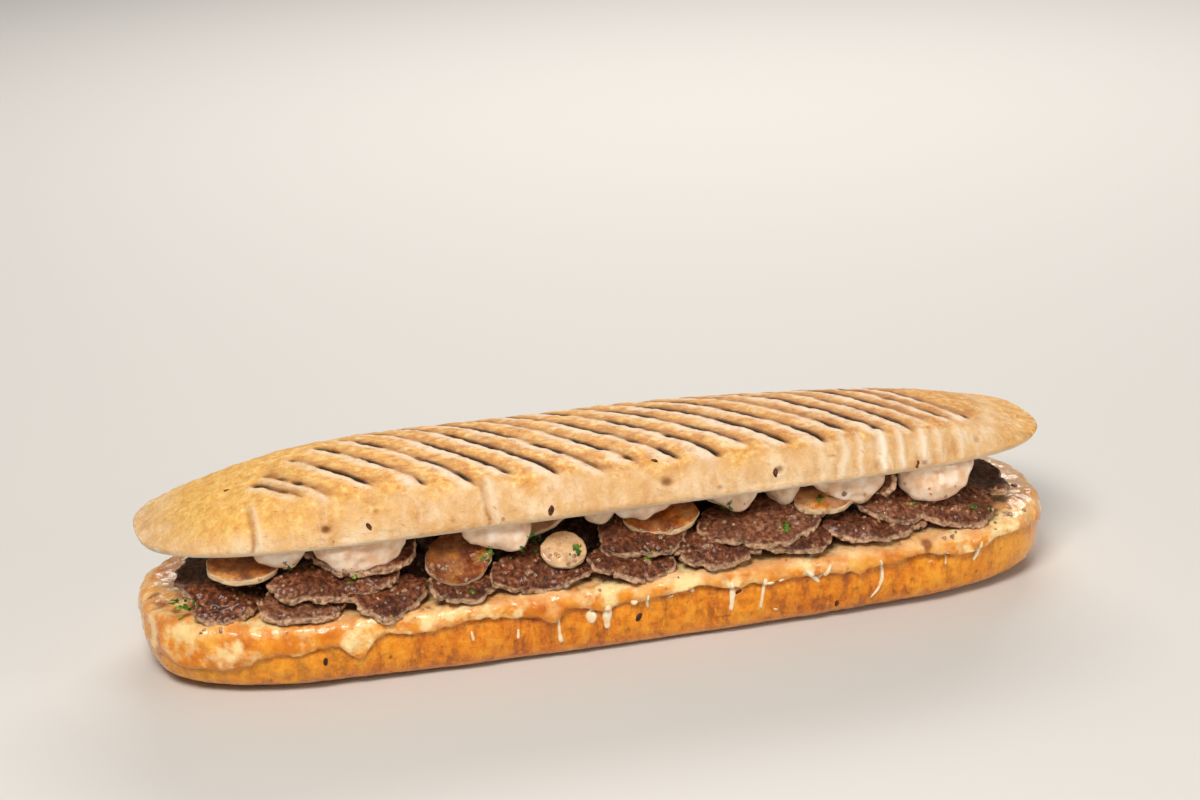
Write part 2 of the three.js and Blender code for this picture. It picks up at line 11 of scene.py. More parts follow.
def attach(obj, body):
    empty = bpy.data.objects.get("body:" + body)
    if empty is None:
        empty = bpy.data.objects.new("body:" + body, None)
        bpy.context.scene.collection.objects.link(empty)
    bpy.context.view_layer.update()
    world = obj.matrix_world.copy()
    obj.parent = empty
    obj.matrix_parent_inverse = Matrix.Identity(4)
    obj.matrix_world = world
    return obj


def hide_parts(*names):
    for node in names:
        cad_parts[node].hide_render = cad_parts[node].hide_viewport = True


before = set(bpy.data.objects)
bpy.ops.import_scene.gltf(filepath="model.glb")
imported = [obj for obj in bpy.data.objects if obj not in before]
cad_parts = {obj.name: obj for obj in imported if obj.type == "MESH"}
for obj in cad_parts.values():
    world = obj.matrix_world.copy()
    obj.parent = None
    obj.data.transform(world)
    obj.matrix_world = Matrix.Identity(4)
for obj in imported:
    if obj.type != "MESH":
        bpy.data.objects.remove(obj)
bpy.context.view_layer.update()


# ---- Camera: a long lens a little above the open side, turned towards the roll's left end and
# tipped so that the roll climbs to the right.
CAMERA_AZIMUTH = math.radians(-11.6)
CAMERA_ELEVATION = math.radians(20.8)
CAMERA_TIP = math.radians(3.0)
CAMERA_DISTANCE = 0.9
CAMERA_LENS = 88.95
CAMERA_SENSOR = 36.0
CAMERA_NEAREST = 0.05
CAMERA_AIM = Vector((0.0032, 0.0, 0.0664))


def put(name, data):
    """An object of its own in the scene."""
    made = bpy.data.objects.new(name, data)
    bpy.context.scene.collection.objects.link(made)
    return made


back = Vector((
    math.sin(CAMERA_AZIMUTH) * math.cos(CAMERA_ELEVATION),
    -math.cos(CAMERA_AZIMUTH) * math.cos(CAMERA_ELEVATION),
    math.sin(CAMERA_ELEVATION),
))
level_right = Vector((math.cos(CAMERA_AZIMUTH), math.sin(CAMERA_AZIMUTH), 0.0))
level_up = back.cross(level_right)
right = level_right * math.cos(CAMERA_TIP) - level_up * math.sin(CAMERA_TIP)
up = level_right * math.sin(CAMERA_TIP) + level_up * math.cos(CAMERA_TIP)
camera_data = bpy.data.cameras.new("camera")
camera_data.lens = CAMERA_LENS
camera_data.sensor_width = CAMERA_SENSOR
camera_data.clip_start = CAMERA_NEAREST
camera = put("camera", camera_data)
camera_axes = Matrix((right, up, back)).transposed().to_4x4()
camera.matrix_world = Matrix.Translation(CAMERA_AIM + back * CAMERA_DISTANCE) @ camera_axes
bpy.context.scene.camera = camera


# ---- Light: a broad soft key over the open side, a weaker one from the right, a strip behind that
# picks out the ridges, and an even pale surround.
def soft_lamp(name, place, aim, width, height, watts, colour):
    """A soft rectangular lamp that points at its aim; places and sizes in metres."""
    data = bpy.data.lights.new(name, "AREA")
    data.shape, data.size, data.size_y = "RECTANGLE", width, height
    data.energy, data.color = watts, colour
    lamp = put(name, data)
    lamp.location = place
    lamp.rotation_euler = (Vector(aim) - Vector(place)).to_track_quat("-Z", "Y").to_euler()


MIDDLE = (0.0, 0.0, 0.03)
soft_lamp("key", (-0.3, -0.6, 0.8), MIDDLE, 0.4, 0.3, 9.0, (1.0, 0.97, 0.93))
soft_lamp("fill", (0.85, -0.6, 0.3), MIDDLE, 0.4, 0.3, 2.6, (1.0, 0.97, 0.94))
soft_lamp("back", (0.25, 0.75, 0.6), MIDDLE, 0.8, 0.25, 6.0, (1.0, 0.98, 0.96))

SURROUND_GREY = 0.95
SURROUND_STRENGTH = 0.2
surround = bpy.data.worlds.new("surround")
surround.use_nodes = True
sky = surround.node_tree.nodes["Background"]
sky.inputs["Color"].default_value = (SURROUND_GREY, SURROUND_GREY, SURROUND_GREY, 1.0)
sky.inputs["Strength"].default_value = SURROUND_STRENGTH
bpy.context.scene.world = surround
bpy.context.scene.view_settings.view_transform = "Standard"


# ---- Floor: a wide sheet of matt card under the roll, pale and a little warm. The roll lies loose
# on it and throws a soft shadow there.
FLOOR_HALF = 3.0


def linear(code):
    """The linear colour of an sRGB hex code."""
    parts = [int(code[i:i + 2], 16) / 255 for i in (1, 3, 5)]
    lip_highlight = [p / 12.92 if p <= 0.04045 else ((p + 0.055) / 1.055) ** 2.4 for p in parts]
    return (*lip_highlight, 1.0)


def fill(tree, made, inputs):
    """Sets or links a node's inputs, each given by its name or number."""
    for name, value in inputs.items():
        if isinstance(value, bpy.types.NodeSocket):
            tree.links.new(value, made.inputs[name])
        else:
            made.inputs[name].default_value = value


def node(tree, kind, inputs=(), stops=(), **settings):
    """Adds a node with its properties, its inputs and, as (place, hex code), its colour stops."""
    made = tree.nodes.new(kind)
    for name, value in settings.items():
        setattr(made, name, value)
    fill(tree, made, dict(inputs))
    if stops:
        spots = made.color_ramp.elements
        while len(spots) < len(stops):
            spots.new(0.5)
        for spot, (place, code) in zip(spots, stops):
            spot.position = place
            spot.color = linear(code)
    return made


def new_material(name):
    """An empty material, its tree, and its Principled shader, which is called Surface."""
    material = bpy.data.materials.new(name)
    material.use_nodes = True
    tree = material.node_tree
    tree.nodes.clear()
    surface = node(tree, "ShaderNodeBsdfPrincipled", {"Specular IOR Level": 0.25}, name="Surface")
    node(tree, "ShaderNodeOutputMaterial", {"Surface": surface.outputs["BSDF"]})
    return material, tree, surface


# Matt card: an even, dull white that mirrors nothing.
floor_paint, tree, surface = new_material("matt white card")
fill(tree, surface, {"Base Color": linear("#d6d2cc"), "Roughness": 0.9})
floor_mesh = bpy.data.meshes.new("floor")
floor_corners = [(FLOOR_HALF * x, FLOOR_HALF * y, 0) for x, y in ((-1, -1), (1, -1), (1, 1), (-1, 1))]
floor_mesh.from_pydata(floor_corners, [], [(0, 1, 2, 3)])
floor_mesh.materials.append(floor_paint)
floor = put("floor", floor_mesh)


# ---- Lower half of the roll: soft white bread in a thin crust, brushed with fat on the contact
# grill, so that its side is glossy and golden orange, mottled, and paler along its lower edge.
MM = 0.001
ROLL_LENGTH = 280.0
ROLL_WIDTH = 78.0
END_BLUNTNESS = 6.3
SIDE_ROUNDNESS = 2.5
LOWER_HEIGHT = 20.5
FULLEST_HEIGHT = 12.5
# The side as (distance in from the outline, height); the flat faces start where it ends.
LOWER_PROFILE = (
    (8.0, 0.0), (4.2, 0.9), (1.5, 3.4), (0.3, 7.5), (0.0, FULLEST_HEIGHT), (0.7, 17.4), (2.2, 20.0),
    (4.5, LOWER_HEIGHT),
)
FLAT_REACH = 26.0
CORNER_REACH = 9.0
END_DRAW_IN = 1.6
LOWER_COLUMNS = 760
LOWER_ROWS = 58
GRILL_PITCH = 13.0
GRILL_SLANT = 0.68
HALF_LENGTH = ROLL_LENGTH / 2
HALF_WIDTH = ROLL_WIDTH / 2


def grain(points, size, seed=0):
    """A smooth random field between -1 and 1 whose lumps have the given size, in millimetres."""
    lattice = points / np.asarray(size, float) + 17.3 * seed + 101.7
    cell = np.floor(lattice).astype(np.int64)
    share = lattice - cell
    share = share * share * (3 - 2 * share)
    total = np.zeros(len(points))
    for corner in itertools.product((0, 1), repeat=3):
        spot = cell + corner
        mixed = spot[:, 0] * 73856093 ^ spot[:, 1] * 19349663 ^ spot[:, 2] * 83492791
        mixed = (mixed ^ (mixed >> 13)) * 1274126177
        value = ((mixed ^ (mixed >> 16)) & 0xFFFFF) / 0xFFFFF * 2 - 1
        total += value * np.prod(np.where(corner, share, 1 - share), axis=1)
    return total


def half_width_at(x):
    """Half the roll's width at a place along it."""
    along = np.minimum(1, np.abs(x / HALF_LENGTH) ** END_BLUNTNESS)
    return HALF_WIDTH * (1 - along) ** (1 / SIDE_ROUNDNESS)


def outline(count, steps=20001):
    """Points round the roll, evenly spaced, counterclockwise from +X, and their outward normals."""
    turn = np.linspace(0, 2 * np.pi, steps)
    x = HALF_LENGTH * np.sign(np.cos(turn)) * np.abs(np.cos(turn)) ** 0.5
    y = np.sign(np.sin(turn)) * half_width_at(x)
    travel = np.concatenate([[0], np.cumsum(np.hypot(np.diff(x), np.diff(y)))])
    wanted = np.linspace(0, travel[-1], count, endpoint=False)
    x, y = np.interp(wanted, travel, x), np.interp(wanted, travel, y)
    slope_x = END_BLUNTNESS * np.sign(x) * np.abs(x / HALF_LENGTH) ** (END_BLUNTNESS - 1) / HALF_LENGTH
    slope_y = SIDE_ROUNDNESS * np.sign(y) * np.abs(y / HALF_WIDTH) ** (SIDE_ROUNDNESS - 1) / HALF_WIDTH
    steep = np.hypot(slope_x, slope_y)
    return np.stack([x, y], 1), np.stack([slope_x / steep, slope_y / steep], 1)


def rounded(corners, count, passes=3):
    """A smooth run of points along a line of corners, ends kept, evenly spaced."""
    line = np.asarray(corners, float)
    for _ in range(passes):
        cut = np.empty((2 * len(line) - 2, line.shape[1]))
        cut[0::2] = 0.75 * line[:-1] + 0.25 * line[1:]
        cut[1::2] = 0.25 * line[:-1] + 0.75 * line[1:]
        line = np.vstack([line[:1], cut[1:-1], line[-1:]])
    travel = np.concatenate([[0], np.cumsum(np.linalg.norm(np.diff(line, axis=0), axis=1))])
    wanted = np.linspace(0, travel[-1], count)
    return np.stack([np.interp(wanted, travel, line[:, k]) for k in range(line.shape[1])], 1)


def closed_mesh(name, rings, first_pole, last_pole, material, turned=False):
    """A closed piece from rings of equal length, in millimetres, with a point closing each end."""
    ring_count, around = rings.shape[:2]
    points = np.vstack([rings.reshape(-1, 3), [first_pole, last_pole]])
    ring, step = np.meshgrid(np.arange(ring_count - 1), np.arange(around), indexing="ij")
    ahead = (step + 1) % around
    here, above = ring * around, (ring + 1) * around
    corners = (here + step, here + ahead, above + ahead, above + step)
    faces = np.stack([corner.ravel() for corner in corners], 1).tolist()
    first, last = len(points) - 2, len(points) - 1
    top = (ring_count - 1) * around
    for i in range(around):
        j = (i + 1) % around
        faces.append((first, j, i))
        faces.append((last, top + i, top + j))
    if turned:
        faces = [tuple(reversed(face)) for face in faces]
    mesh = bpy.data.meshes.new(name)
    mesh.from_pydata((points * MM).tolist(), [], faces)
    mesh.polygons.foreach_set("use_smooth", np.ones(len(mesh.polygons), bool))
    mesh.materials.append(material)
    mesh.update()
    return put(name, mesh)


def read_points(piece):
    """A piece's points in millimetres and their normals."""
    mesh = piece.data
    points, normals = np.empty(3 * len(mesh.vertices)), np.empty(3 * len(mesh.vertices))
    mesh.vertices.foreach_get("co", points)
    mesh.vertex_normals.foreach_get("vector", normals)
    return points.reshape(-1, 3) / MM, normals.reshape(-1, 3)


def move_points(piece, points):
    """Moves a piece's points to these places, in millimetres."""
    piece.data.vertices.foreach_set("co", (points * MM).ravel())
    piece.data.update()


def unit(values):
    """Values cut off below 0 and above 1."""
    return np.clip(values, 0, 1)


def paint(piece, name, values):
    """Stores one number for each point, for a material to read."""
    layer = piece.data.attributes.new(name, "FLOAT", "POINT")
    layer.data.foreach_set("value", unit(values).astype(np.float32))


def clouds(tree, *patterns):
    """Cloud patterns, each as (size of its lumps in millimetres, detail, roughness) and, where it is
    drawn out one way, a stretch."""
    place = node(tree, "ShaderNodeTexCoord").outputs["Object"]
    made = []
    for millimetres, detail, rough, *stretch in patterns:
        turned = node(tree, "ShaderNodeMapping", {"Vector": place, "Scale": (*stretch, (1, 1, 1))[0]})
        cloud = node(tree, "ShaderNodeTexNoise", {
            "Vector": turned.outputs["Vector"], "Scale": 1.0 / (millimetres * MM),
            "Detail": detail, "Roughness": rough,
        })
        made.append(cloud.outputs["Fac"])
    return made


def told(tree, given):
    """What the words of a finish stand for. A hex code is a colour and any other name a painted number.
    (pattern, stops) is a pattern in colours, (pattern, low, high, start, end) is one stretched from
    low..high to start..end, and [one, other] is their product. All else stays as it is."""
    if isinstance(given, str):
        if given.startswith("#"):
            return linear(given)
        return node(tree, "ShaderNodeAttribute", attribute_name=given).outputs["Fac"]
    if isinstance(given, list):
        inputs = {index: told(tree, part) for index, part in enumerate(given)}
        return node(tree, "ShaderNodeMath", inputs, operation="MULTIPLY").outputs[0]
    if not isinstance(given, tuple):
        return given
    pattern, *limits = given
    if len(limits) == 1:
        return node(tree, "ShaderNodeValToRGB", {"Fac": pattern}, stops=limits[0]).outputs["Color"]
    names = ("From Min", "From Max", "To Min", "To Max")
    inputs = {"Value": told(tree, pattern), **dict(zip(names, limits))}
    return node(tree, "ShaderNodeMapRange", inputs).outputs["Result"]


def coated(tree, base, *coats):
    """Lays coats of colour over a base, each as (how much of it shows, its colour)."""
    colour = told(tree, base)
    for share, coat in coats:
        inputs = {0: told(tree, share), 6: colour, 7: told(tree, coat)}
        colour = node(tree, "ShaderNodeMix", inputs, data_type="RGBA").outputs[2]
    return colour


def relief(tree, surface, layers):
    """Chains bumps onto the surface: layers are (height, depth in millimetres)."""
    normal = None
    for height, depth in layers:
        bump = node(tree, "ShaderNodeBump", {"Height": height, "Distance": depth * MM, "Strength": 1.0})
        if normal is not None:
            tree.links.new(normal, bump.inputs["Normal"])
        normal = bump.outputs["Normal"]
    tree.links.new(normal, surface.inputs["Normal"])


# Baked crust under a film of fat: golden orange, streaked downwards and spotted with brown, with
# the soft gleam of grease.
crust, tree, surface = new_material("buttered bread crust")
broad, mottle, fine, streak = clouds(
    tree, (16.0, 4.0, 0.6), (3.0, 5.0, 0.65), (0.7, 3.0, 0.6), (4.2, 5.0, 0.66, (1.0, 1.0, 0.3)),
)
fill(tree, surface, {
    "Base Color": coated(
        tree, (broad, ((0.3, "#d87200"), (0.45, "#ea8700"), (0.6, "#f99c04"), (0.75, "#ffae18"))),
        (0.5, (mottle, ((0.32, "#a04400"), (0.5, "#e88000"), (0.68, "#ffb630")))),
        ((streak, 0.52, 0.66, 0.0, 0.55), "#ffb838"), ((streak, 0.47, 0.36, 0.0, 0.6), "#8a3a04"),
        ("bright", "#ffb62e"), ("pale", "#e2ad76"), ("char", "#3a1a0a"), ("crumb", "#f2dcb8"),
    ),
    "Roughness": told(tree, (mottle, 0.3, 0.7, 0.2, 0.42)),
    "Coat Weight": 0.55, "Coat Roughness": 0.07,
    "Subsurface Weight": 0.06, "Subsurface Radius": (0.9, 0.4, 0.15), "Subsurface Scale": 2.0 * MM,
})
relief(tree, surface, [(mottle, 0.9), (fine, 0.2), (streak, 1.3)])

lower_rim, lower_out = outline(LOWER_COLUMNS)
underside = [(x, 0.0) for x in np.linspace(FLAT_REACH, 8.5, 6)]
cut_face = [(x, LOWER_HEIGHT) for x in np.linspace(5.5, FLAT_REACH, 8)]
lower_profile = np.vstack([underside, rounded(LOWER_PROFILE, LOWER_ROWS), cut_face])
lower_rings = np.empty((len(lower_profile), len(lower_rim), 3))
for row, (inset, height) in enumerate(lower_profile):
    below = max(0.0, 1 - height / FULLEST_HEIGHT)
    drawn = min(inset, CORNER_REACH) * (1 + END_DRAW_IN * below * (lower_rim[:, 0] / HALF_LENGTH) ** 2)
    ring = lower_rim - lower_out * drawn[:, None]
    inner = max(0.0, inset - CORNER_REACH) / HALF_WIDTH
    lower_rings[row, :, :2] = ring * np.array([1 - 0.35 * inner, 1 - 1.25 * inner])
    lower_rings[row, :, 2] = height
bottom = closed_mesh("lower_roll", lower_rings, (0, 0, 0), (0, 0, LOWER_HEIGHT), crust)
points, normals = read_points(bottom)
x, y, z = points.T
side = unit(z / 5) * unit((LOWER_HEIGHT - z) / 2)
dents = 0.55 * grain(points, (16, 16, 9), 1) + 0.3 * grain(points, (6, 6, 8), 2)
wrinkles = -0.45 * np.maximum(0, 1 - 5 * np.abs(grain(points, (5, 5, 16), 3)))
blisters = 0.35 * np.maximum(0, grain(points, 2.6, 4) - 0.45)
points += normals * (side * (dents + wrinkles * (grain(points, 22, 5) > 0) + blisters))[:, None]
move_points(bottom, points)
paint(bottom, "pale", unit((3.2 - z) / 2.2) * unit(z / 0.4) * 0.8)
paint(bottom, "crumb", (z > LOWER_HEIGHT - 1.0) * 1.0)
bright_left = unit((-x - 60) / 50)
bright_right = unit((x - 95) / 30)
paint(bottom, "bright", 0.35 * np.maximum(bright_left, bright_right) * (1 + 0.6 * grain(points, 7.0, 7)))
seeds = unit(6 * (grain(points, (2.2, 2.2, 1.6), 6) - 0.80))
across_grill = (x + GRILL_SLANT * y) % GRILL_PITCH - GRILL_PITCH / 2
grill = unit(1.6 - np.abs(across_grill))
grill_reach = unit((30 - np.abs(y)) / 6) * (z < 0.3)
paint(bottom, "char", np.maximum(seeds * side, 0.75 * grill * grill_reach))
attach(bottom, "root")
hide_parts("bottom_bun")


# ---- Melted cheese: a thin mild cheese laid on the cut face, melted under the grill so that it
# runs over the rim in soft tongues, cream where it is thick and orange where it has browned.
CHEESE_THICKNESS = 2.4
CHEESE_GAP = 0.35
CHEESE_COLUMNS = 1000
CHEESE_ROWS = 40
LEAST_DROP = 0.9
HEAVY_END = -126
# Runs over the near rim: place along the roll, how far they hang, and half-width.
CHEESE_RUNS = ((-80.5, 7.0, 4.0), (-23.0, 3.0, 3.5), (-7.0, 2.4, 5.0), (32.0, 2.0, 4.0))
# Where the cheese is thick and milky along the near rim: place along the roll and half-width.
MILKY_PLACES = ((-80.5, 7), (-35, 6), (-7, 8), (18, 6), (34, 6), (57, 5), (-62, 5), (110, 8))
# Spots where the grill browned the cheese: place along and across the roll, and radius.
SCORCHES = (
    (-135.0, -9.0, 2.4), (-131.0, -15.0, 1.8), (-136.5, -2.0, 1.8), (-128.0, -21.0, 1.3), (94.0, -37.5, 1.6),
    (124.0, -27.0, 1.8), (132.0, -17.0, 1.4), (48.0, 36.5, 1.8), (-70.0, 38.0, 1.8),
)


def hill(away, reach, power=2):
    """A smooth rise to 1 where away is 0, that fades over its reach."""
    return np.exp(-((away / reach) ** power))


def cheese_drop(x, y):
    """How far the cheese hangs below the rim."""
    tongues = 0.55 * np.sin(x * 0.19 + 0.6) + 0.45 * np.sin(x * 0.083 + 2.1)
    heavy_end = 7.5 * hill(x - HEAVY_END, 27)
    runs = sum(length * hill(x - centre, half) for centre, length, half in CHEESE_RUNS)
    return np.where(y < 0, 1.0, 0.75) * (2.9 + 1.5 * tongues + heavy_end) + (y < 0) * runs


# Melted cheese under the grill: cream where it lies thick, orange to brown where it hangs, milky in
# its pools, with a wet gleam and light that sinks in a little.
cheese, tree, surface = new_material("melted mild cheese")
browned, cloud, pooled, fine = clouds(
    tree, (8.0, 4.0, 0.6), (3.2, 3.0, 0.6), (6.0, 3.0, 0.55), (0.9, 2.0, 0.5),
)
fill(tree, surface, {
    "Base Color": coated(
        tree, (browned, ((0.35, "#f1c594"), (0.55, "#e8ab6c"), (0.75, "#d48438"))),
        ("hang", (browned, ((0.32, "#f5bf5e"), (0.45, "#ef9f2c"), (0.57, "#e1820e"), (0.72, "#c06006")))),
        ("edge", "#d67d12"),
        ([(pooled, 0.46, 0.62, 0.0, 1.0), "milky"], "#ffdf9f"),
        ("scorch", "#7c380a"),
    ),
    "Roughness": told(tree, (browned, 0.3, 0.7, 0.2, 0.36)),
    "Coat Weight": 0.45, "Coat Roughness": 0.13,
    "Subsurface Weight": 0.2, "Subsurface Radius": (1.0, 0.55, 0.2), "Subsurface Scale": 2.0 * MM,
})
relief(tree, surface, [(cloud, 0.9), (fine, 0.12)])

rim, rim_out = outline(CHEESE_COLUMNS)
rim3 = np.column_stack([rim, np.zeros(len(rim))])
drop = cheese_drop(rim[:, 0], rim[:, 1])
drop = drop + 1.6 * np.maximum(0, grain(rim3, 7.0, 11)) + 0.9 * grain(rim3, 2.6, 12)
drop = np.maximum(LEAST_DROP, drop)
swell = 1.3 + 0.7 * grain(rim3, 9.0, 13) + 0.4 * grain(rim3, 3.0, 14)
swell = np.clip(swell, 0.5, 2.4) * (1 - 0.6 * (rim[:, 0] / HALF_LENGTH) ** 6)
lip = LOWER_HEIGHT - drop
sheet_foot = LOWER_HEIGHT + CHEESE_GAP
sheet_top = LOWER_HEIGHT + CHEESE_GAP + CHEESE_THICKNESS
cheese_profiles = []
for i in range(len(rim)):
    cheese_profiles.append(rounded((
        (-4.8, sheet_foot),
        (-1.7, sheet_foot - 0.4),
        (-0.3, lip[i] + 0.7 + 0.6 * (LOWER_HEIGHT - 0.75 - lip[i])),
        (0.2, lip[i] + 0.9),
        (0.15, lip[i]),
        (0.4 + 0.9 * swell[i], lip[i] - 0.1),
        (0.4 + 1.1 * swell[i], lip[i] + 0.45 * (drop[i] + 1)),
        (-0.2 + 0.6 * swell[i], LOWER_HEIGHT + 1.5),
        (-4.5, sheet_top),
        (-10.0, sheet_top),
    ), CHEESE_ROWS, 2))
cheese_profiles = np.array(cheese_profiles)
cheese_rings = np.empty((CHEESE_ROWS, len(rim), 3))
for row in range(CHEESE_ROWS):
    cheese_rings[row, :, :2] = rim + rim_out * cheese_profiles[:, row, 0:1]
    cheese_rings[row, :, 2] = cheese_profiles[:, row, 1]
inner_rings = [cheese_rings[-1] * np.array([share, share, 1.0]) for share in (0.75, 0.45, 0.2)]
cheese_rings = np.concatenate([cheese_rings, np.array(inner_rings)])
sheet = closed_mesh("melted_cheese_sheet", cheese_rings, (0, 0, sheet_foot), (0, 0, sheet_top), cheese)
points, normals = read_points(sheet)
x, y, z = points.T
outside = unit((z - (LOWER_HEIGHT - 12)) / 2)
lumps = 0.5 * grain(points, 5.0, 15) + 0.28 * grain(points, 2.0, 16) + 0.12 * grain(points, 0.9, 17)
points += normals * (outside * lumps)[:, None]
move_points(sheet, points)
outward = unit(1.15 - np.abs(normals[:, 2]))
foot_of_lip = LOWER_HEIGHT - np.maximum(LEAST_DROP, cheese_drop(x, y))
heavy = unit((-x - 75) / 30)
hang = unit((LOWER_HEIGHT + 2.6 - z) / 2.2) * outward
paint(sheet, "hang", np.maximum(hang, 0.6 * heavy))
paint(sheet, "edge", np.clip(1.0 - (z - foot_of_lip) / 2.4, 0, 0.75) * outward)
milky = np.maximum(0.35 + 0.4 * heavy, 0.9 * (grain(points, 14.0, 18) > 0.25))
for centre, half in MILKY_PLACES:
    milky = np.maximum(milky, 1.3 * hill(x - centre, half) * (y < 0))
paint(sheet, "milky", milky)
scorch = np.zeros(len(points))
for centre_x, centre_y, reach in SCORCHES:
    away = np.hypot(x - centre_x, y - centre_y) / reach + 0.4 * grain(points, 2.2, 19)
    scorch = np.maximum(scorch, 0.8 * hill(np.maximum(0, away), 1, 4))
paint(sheet, "scorch", scorch)
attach(sheet, "root")
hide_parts("melted_cheese")


# ---- Upper half of the roll: the same bread, pressed by a ribbed plate that leaves dark slanted
# grooves between golden ridges, while the side that never touched the plate stays pale.
MOUTH_HEIGHT = 25.2
LID_TILT = math.radians(4)
LID_SHOULDER = 11.4
LID_CROWN = 2.4
LID_EDGE = 1.4
LID_UNDERCUT = 0.8
LID_COLUMNS = 560
LID_ROWS = 132
UNDER_ROWS = 24
LINE_STEPS = 700
TIP_REACH = 0.9995
TIP_CROWDING = 1.15
GROOVE_COUNT = 20
GROOVE_PITCH = 14.2
GROOVE_CLOSING = 0.011
GROOVE_SHEAR = 0.68
GROOVE_DEPTH = 1.15
PRESSED_HOLLOW = 0.28
FIRST_GROOVE = -107.0
PRESSED_INSET = 1.17
# Cracks run up the near side: place along the roll, depth and half-width.
CRACKS = (
    (-108.0, 1.0, 0.9), (-88.5, 0.5, 0.7), (-62.0, 0.4, 0.7), (-40.0, 0.9, 1.1), (-12.0, 0.35, 0.8),
    (26.0, 0.5, 0.8), (60.0, 0.5, 0.8), (67.0, 0.8, 0.9), (73.0, 0.6, 0.7), (80.0, 1.0, 1.0),
    (85.5, 0.7, 0.8), (92.0, 0.8, 0.9), (98.0, 0.4, 0.7), (104.0, 0.6, 0.8),
)
# Pits left by burst bubbles: place along the roll, height in the lid, radius, depth and how browned.
PITS = (
    (-87.0, 6.0, 1.7, 0.9, 0.9), (-112.0, 17.0, 1.4, 0.5, 0.9), (-61.0, 13.5, 1.6, -0.8, 0.0),
    (14.4, 7.2, 1.9, 0.8, 0.8), (25.7, 6.6, 1.3, -0.6, 0.0), (48.6, 6.4, 1.5, 0.8, 0.7),
    (93.7, 2.4, 1.1, 0.3, 0.6), (-20.0, 9.0, 1.2, 0.5, 0.3), (-50.0, 4.0, 1.0, 0.4, 0.4),
    (-72.0, 9.5, 1.0, 0.5, 0.5), (30.0, 3.5, 0.9, 0.4, 0.5), (112.0, 6.0, 1.2, 0.5, 0.4),
)


def outline_level(x, y):
    """0 in the middle of the roll and 1 on its outline."""
    return np.abs(x / HALF_LENGTH) ** END_BLUNTNESS + np.abs(y / HALF_WIDTH) ** SIDE_ROUNDNESS


def lid_height(x, y):
    """The unpressed top of the upper half, above its own flat face."""
    along = x / HALF_LENGTH
    level = np.minimum(1, outline_level(x, y))
    left_rise = 5.2 * np.minimum(1, np.maximum(0, -along) / 0.64) ** 1.5
    shoulder = LID_SHOULDER + left_rise + 2 * np.maximum(0, along)
    crown = LID_CROWN * (1 - (y / HALF_WIDTH) ** 2)
    fall_rate = 0.22 + np.where(along > 0, 2.4, 1.1) * along * along
    back_fall = 1 - np.minimum(0.95, fall_rate * np.maximum(0, y / HALF_WIDTH) ** 2)
    tip_taper = np.maximum(0, 1 - along ** 4)
    wall = (1 - level ** 3.6) ** 0.45
    return LID_EDGE + (shoulder + crown) * back_fall * tip_taper * wall


def line_span(start, steps=4001):
    """Where the slanted line x + shear * y = start enters and leaves the outline."""
    y = np.linspace(-HALF_WIDTH, HALF_WIDTH, steps)
    inside = y[outline_level(start - GROOVE_SHEAR * y, y) < 1]
    return (inside[0], inside[-1]) if len(inside) else None


# The slanted lines from which the lid is built reach almost to the last one that touches the outline.
crossing, missing = 0.0, HALF_LENGTH + GROOVE_SHEAR * HALF_WIDTH
for _ in range(30):
    middle = (crossing + missing) / 2
    if line_span(middle):
        crossing = middle
    else:
        missing = middle
sweep = np.linspace(-1, 1, LID_COLUMNS)
starts = crossing * TIP_REACH * np.sign(sweep) * (1 - (1 - np.abs(sweep)) ** TIP_CROWDING)

crowded = np.sin(np.linspace(-np.pi / 2, np.pi / 2, LINE_STEPS))
lid_loops = np.empty((LID_COLUMNS, LID_ROWS + UNDER_ROWS, 3))
for column, start in enumerate(starts):
    near, far = line_span(start)
    y = (near + far) / 2 + crowded * (far - near) / 2
    z = lid_height(start - GROOVE_SHEAR * y, y)
    z[0] = z[-1] = LID_EDGE
    travel = np.concatenate([[0], np.cumsum(np.hypot(np.diff(y), np.diff(z)))])
    wanted = np.linspace(0, travel[-1], LID_ROWS)
    y, z = np.interp(wanted, travel, y), np.interp(wanted, travel, z)
    under = np.linspace(far - LID_UNDERCUT, near + LID_UNDERCUT, UNDER_ROWS)
    if far - near < 4 * LID_UNDERCUT:
        under = np.linspace(far, near, UNDER_ROWS + 2)[1:-1]
    loop_y = np.concatenate([y, under])
    lid_loops[column, :, 0] = start - GROOVE_SHEAR * loop_y
    lid_loops[column, :, 1] = loop_y
    lid_loops[column, :, 2] = np.concatenate([z, np.zeros(UNDER_ROWS)])

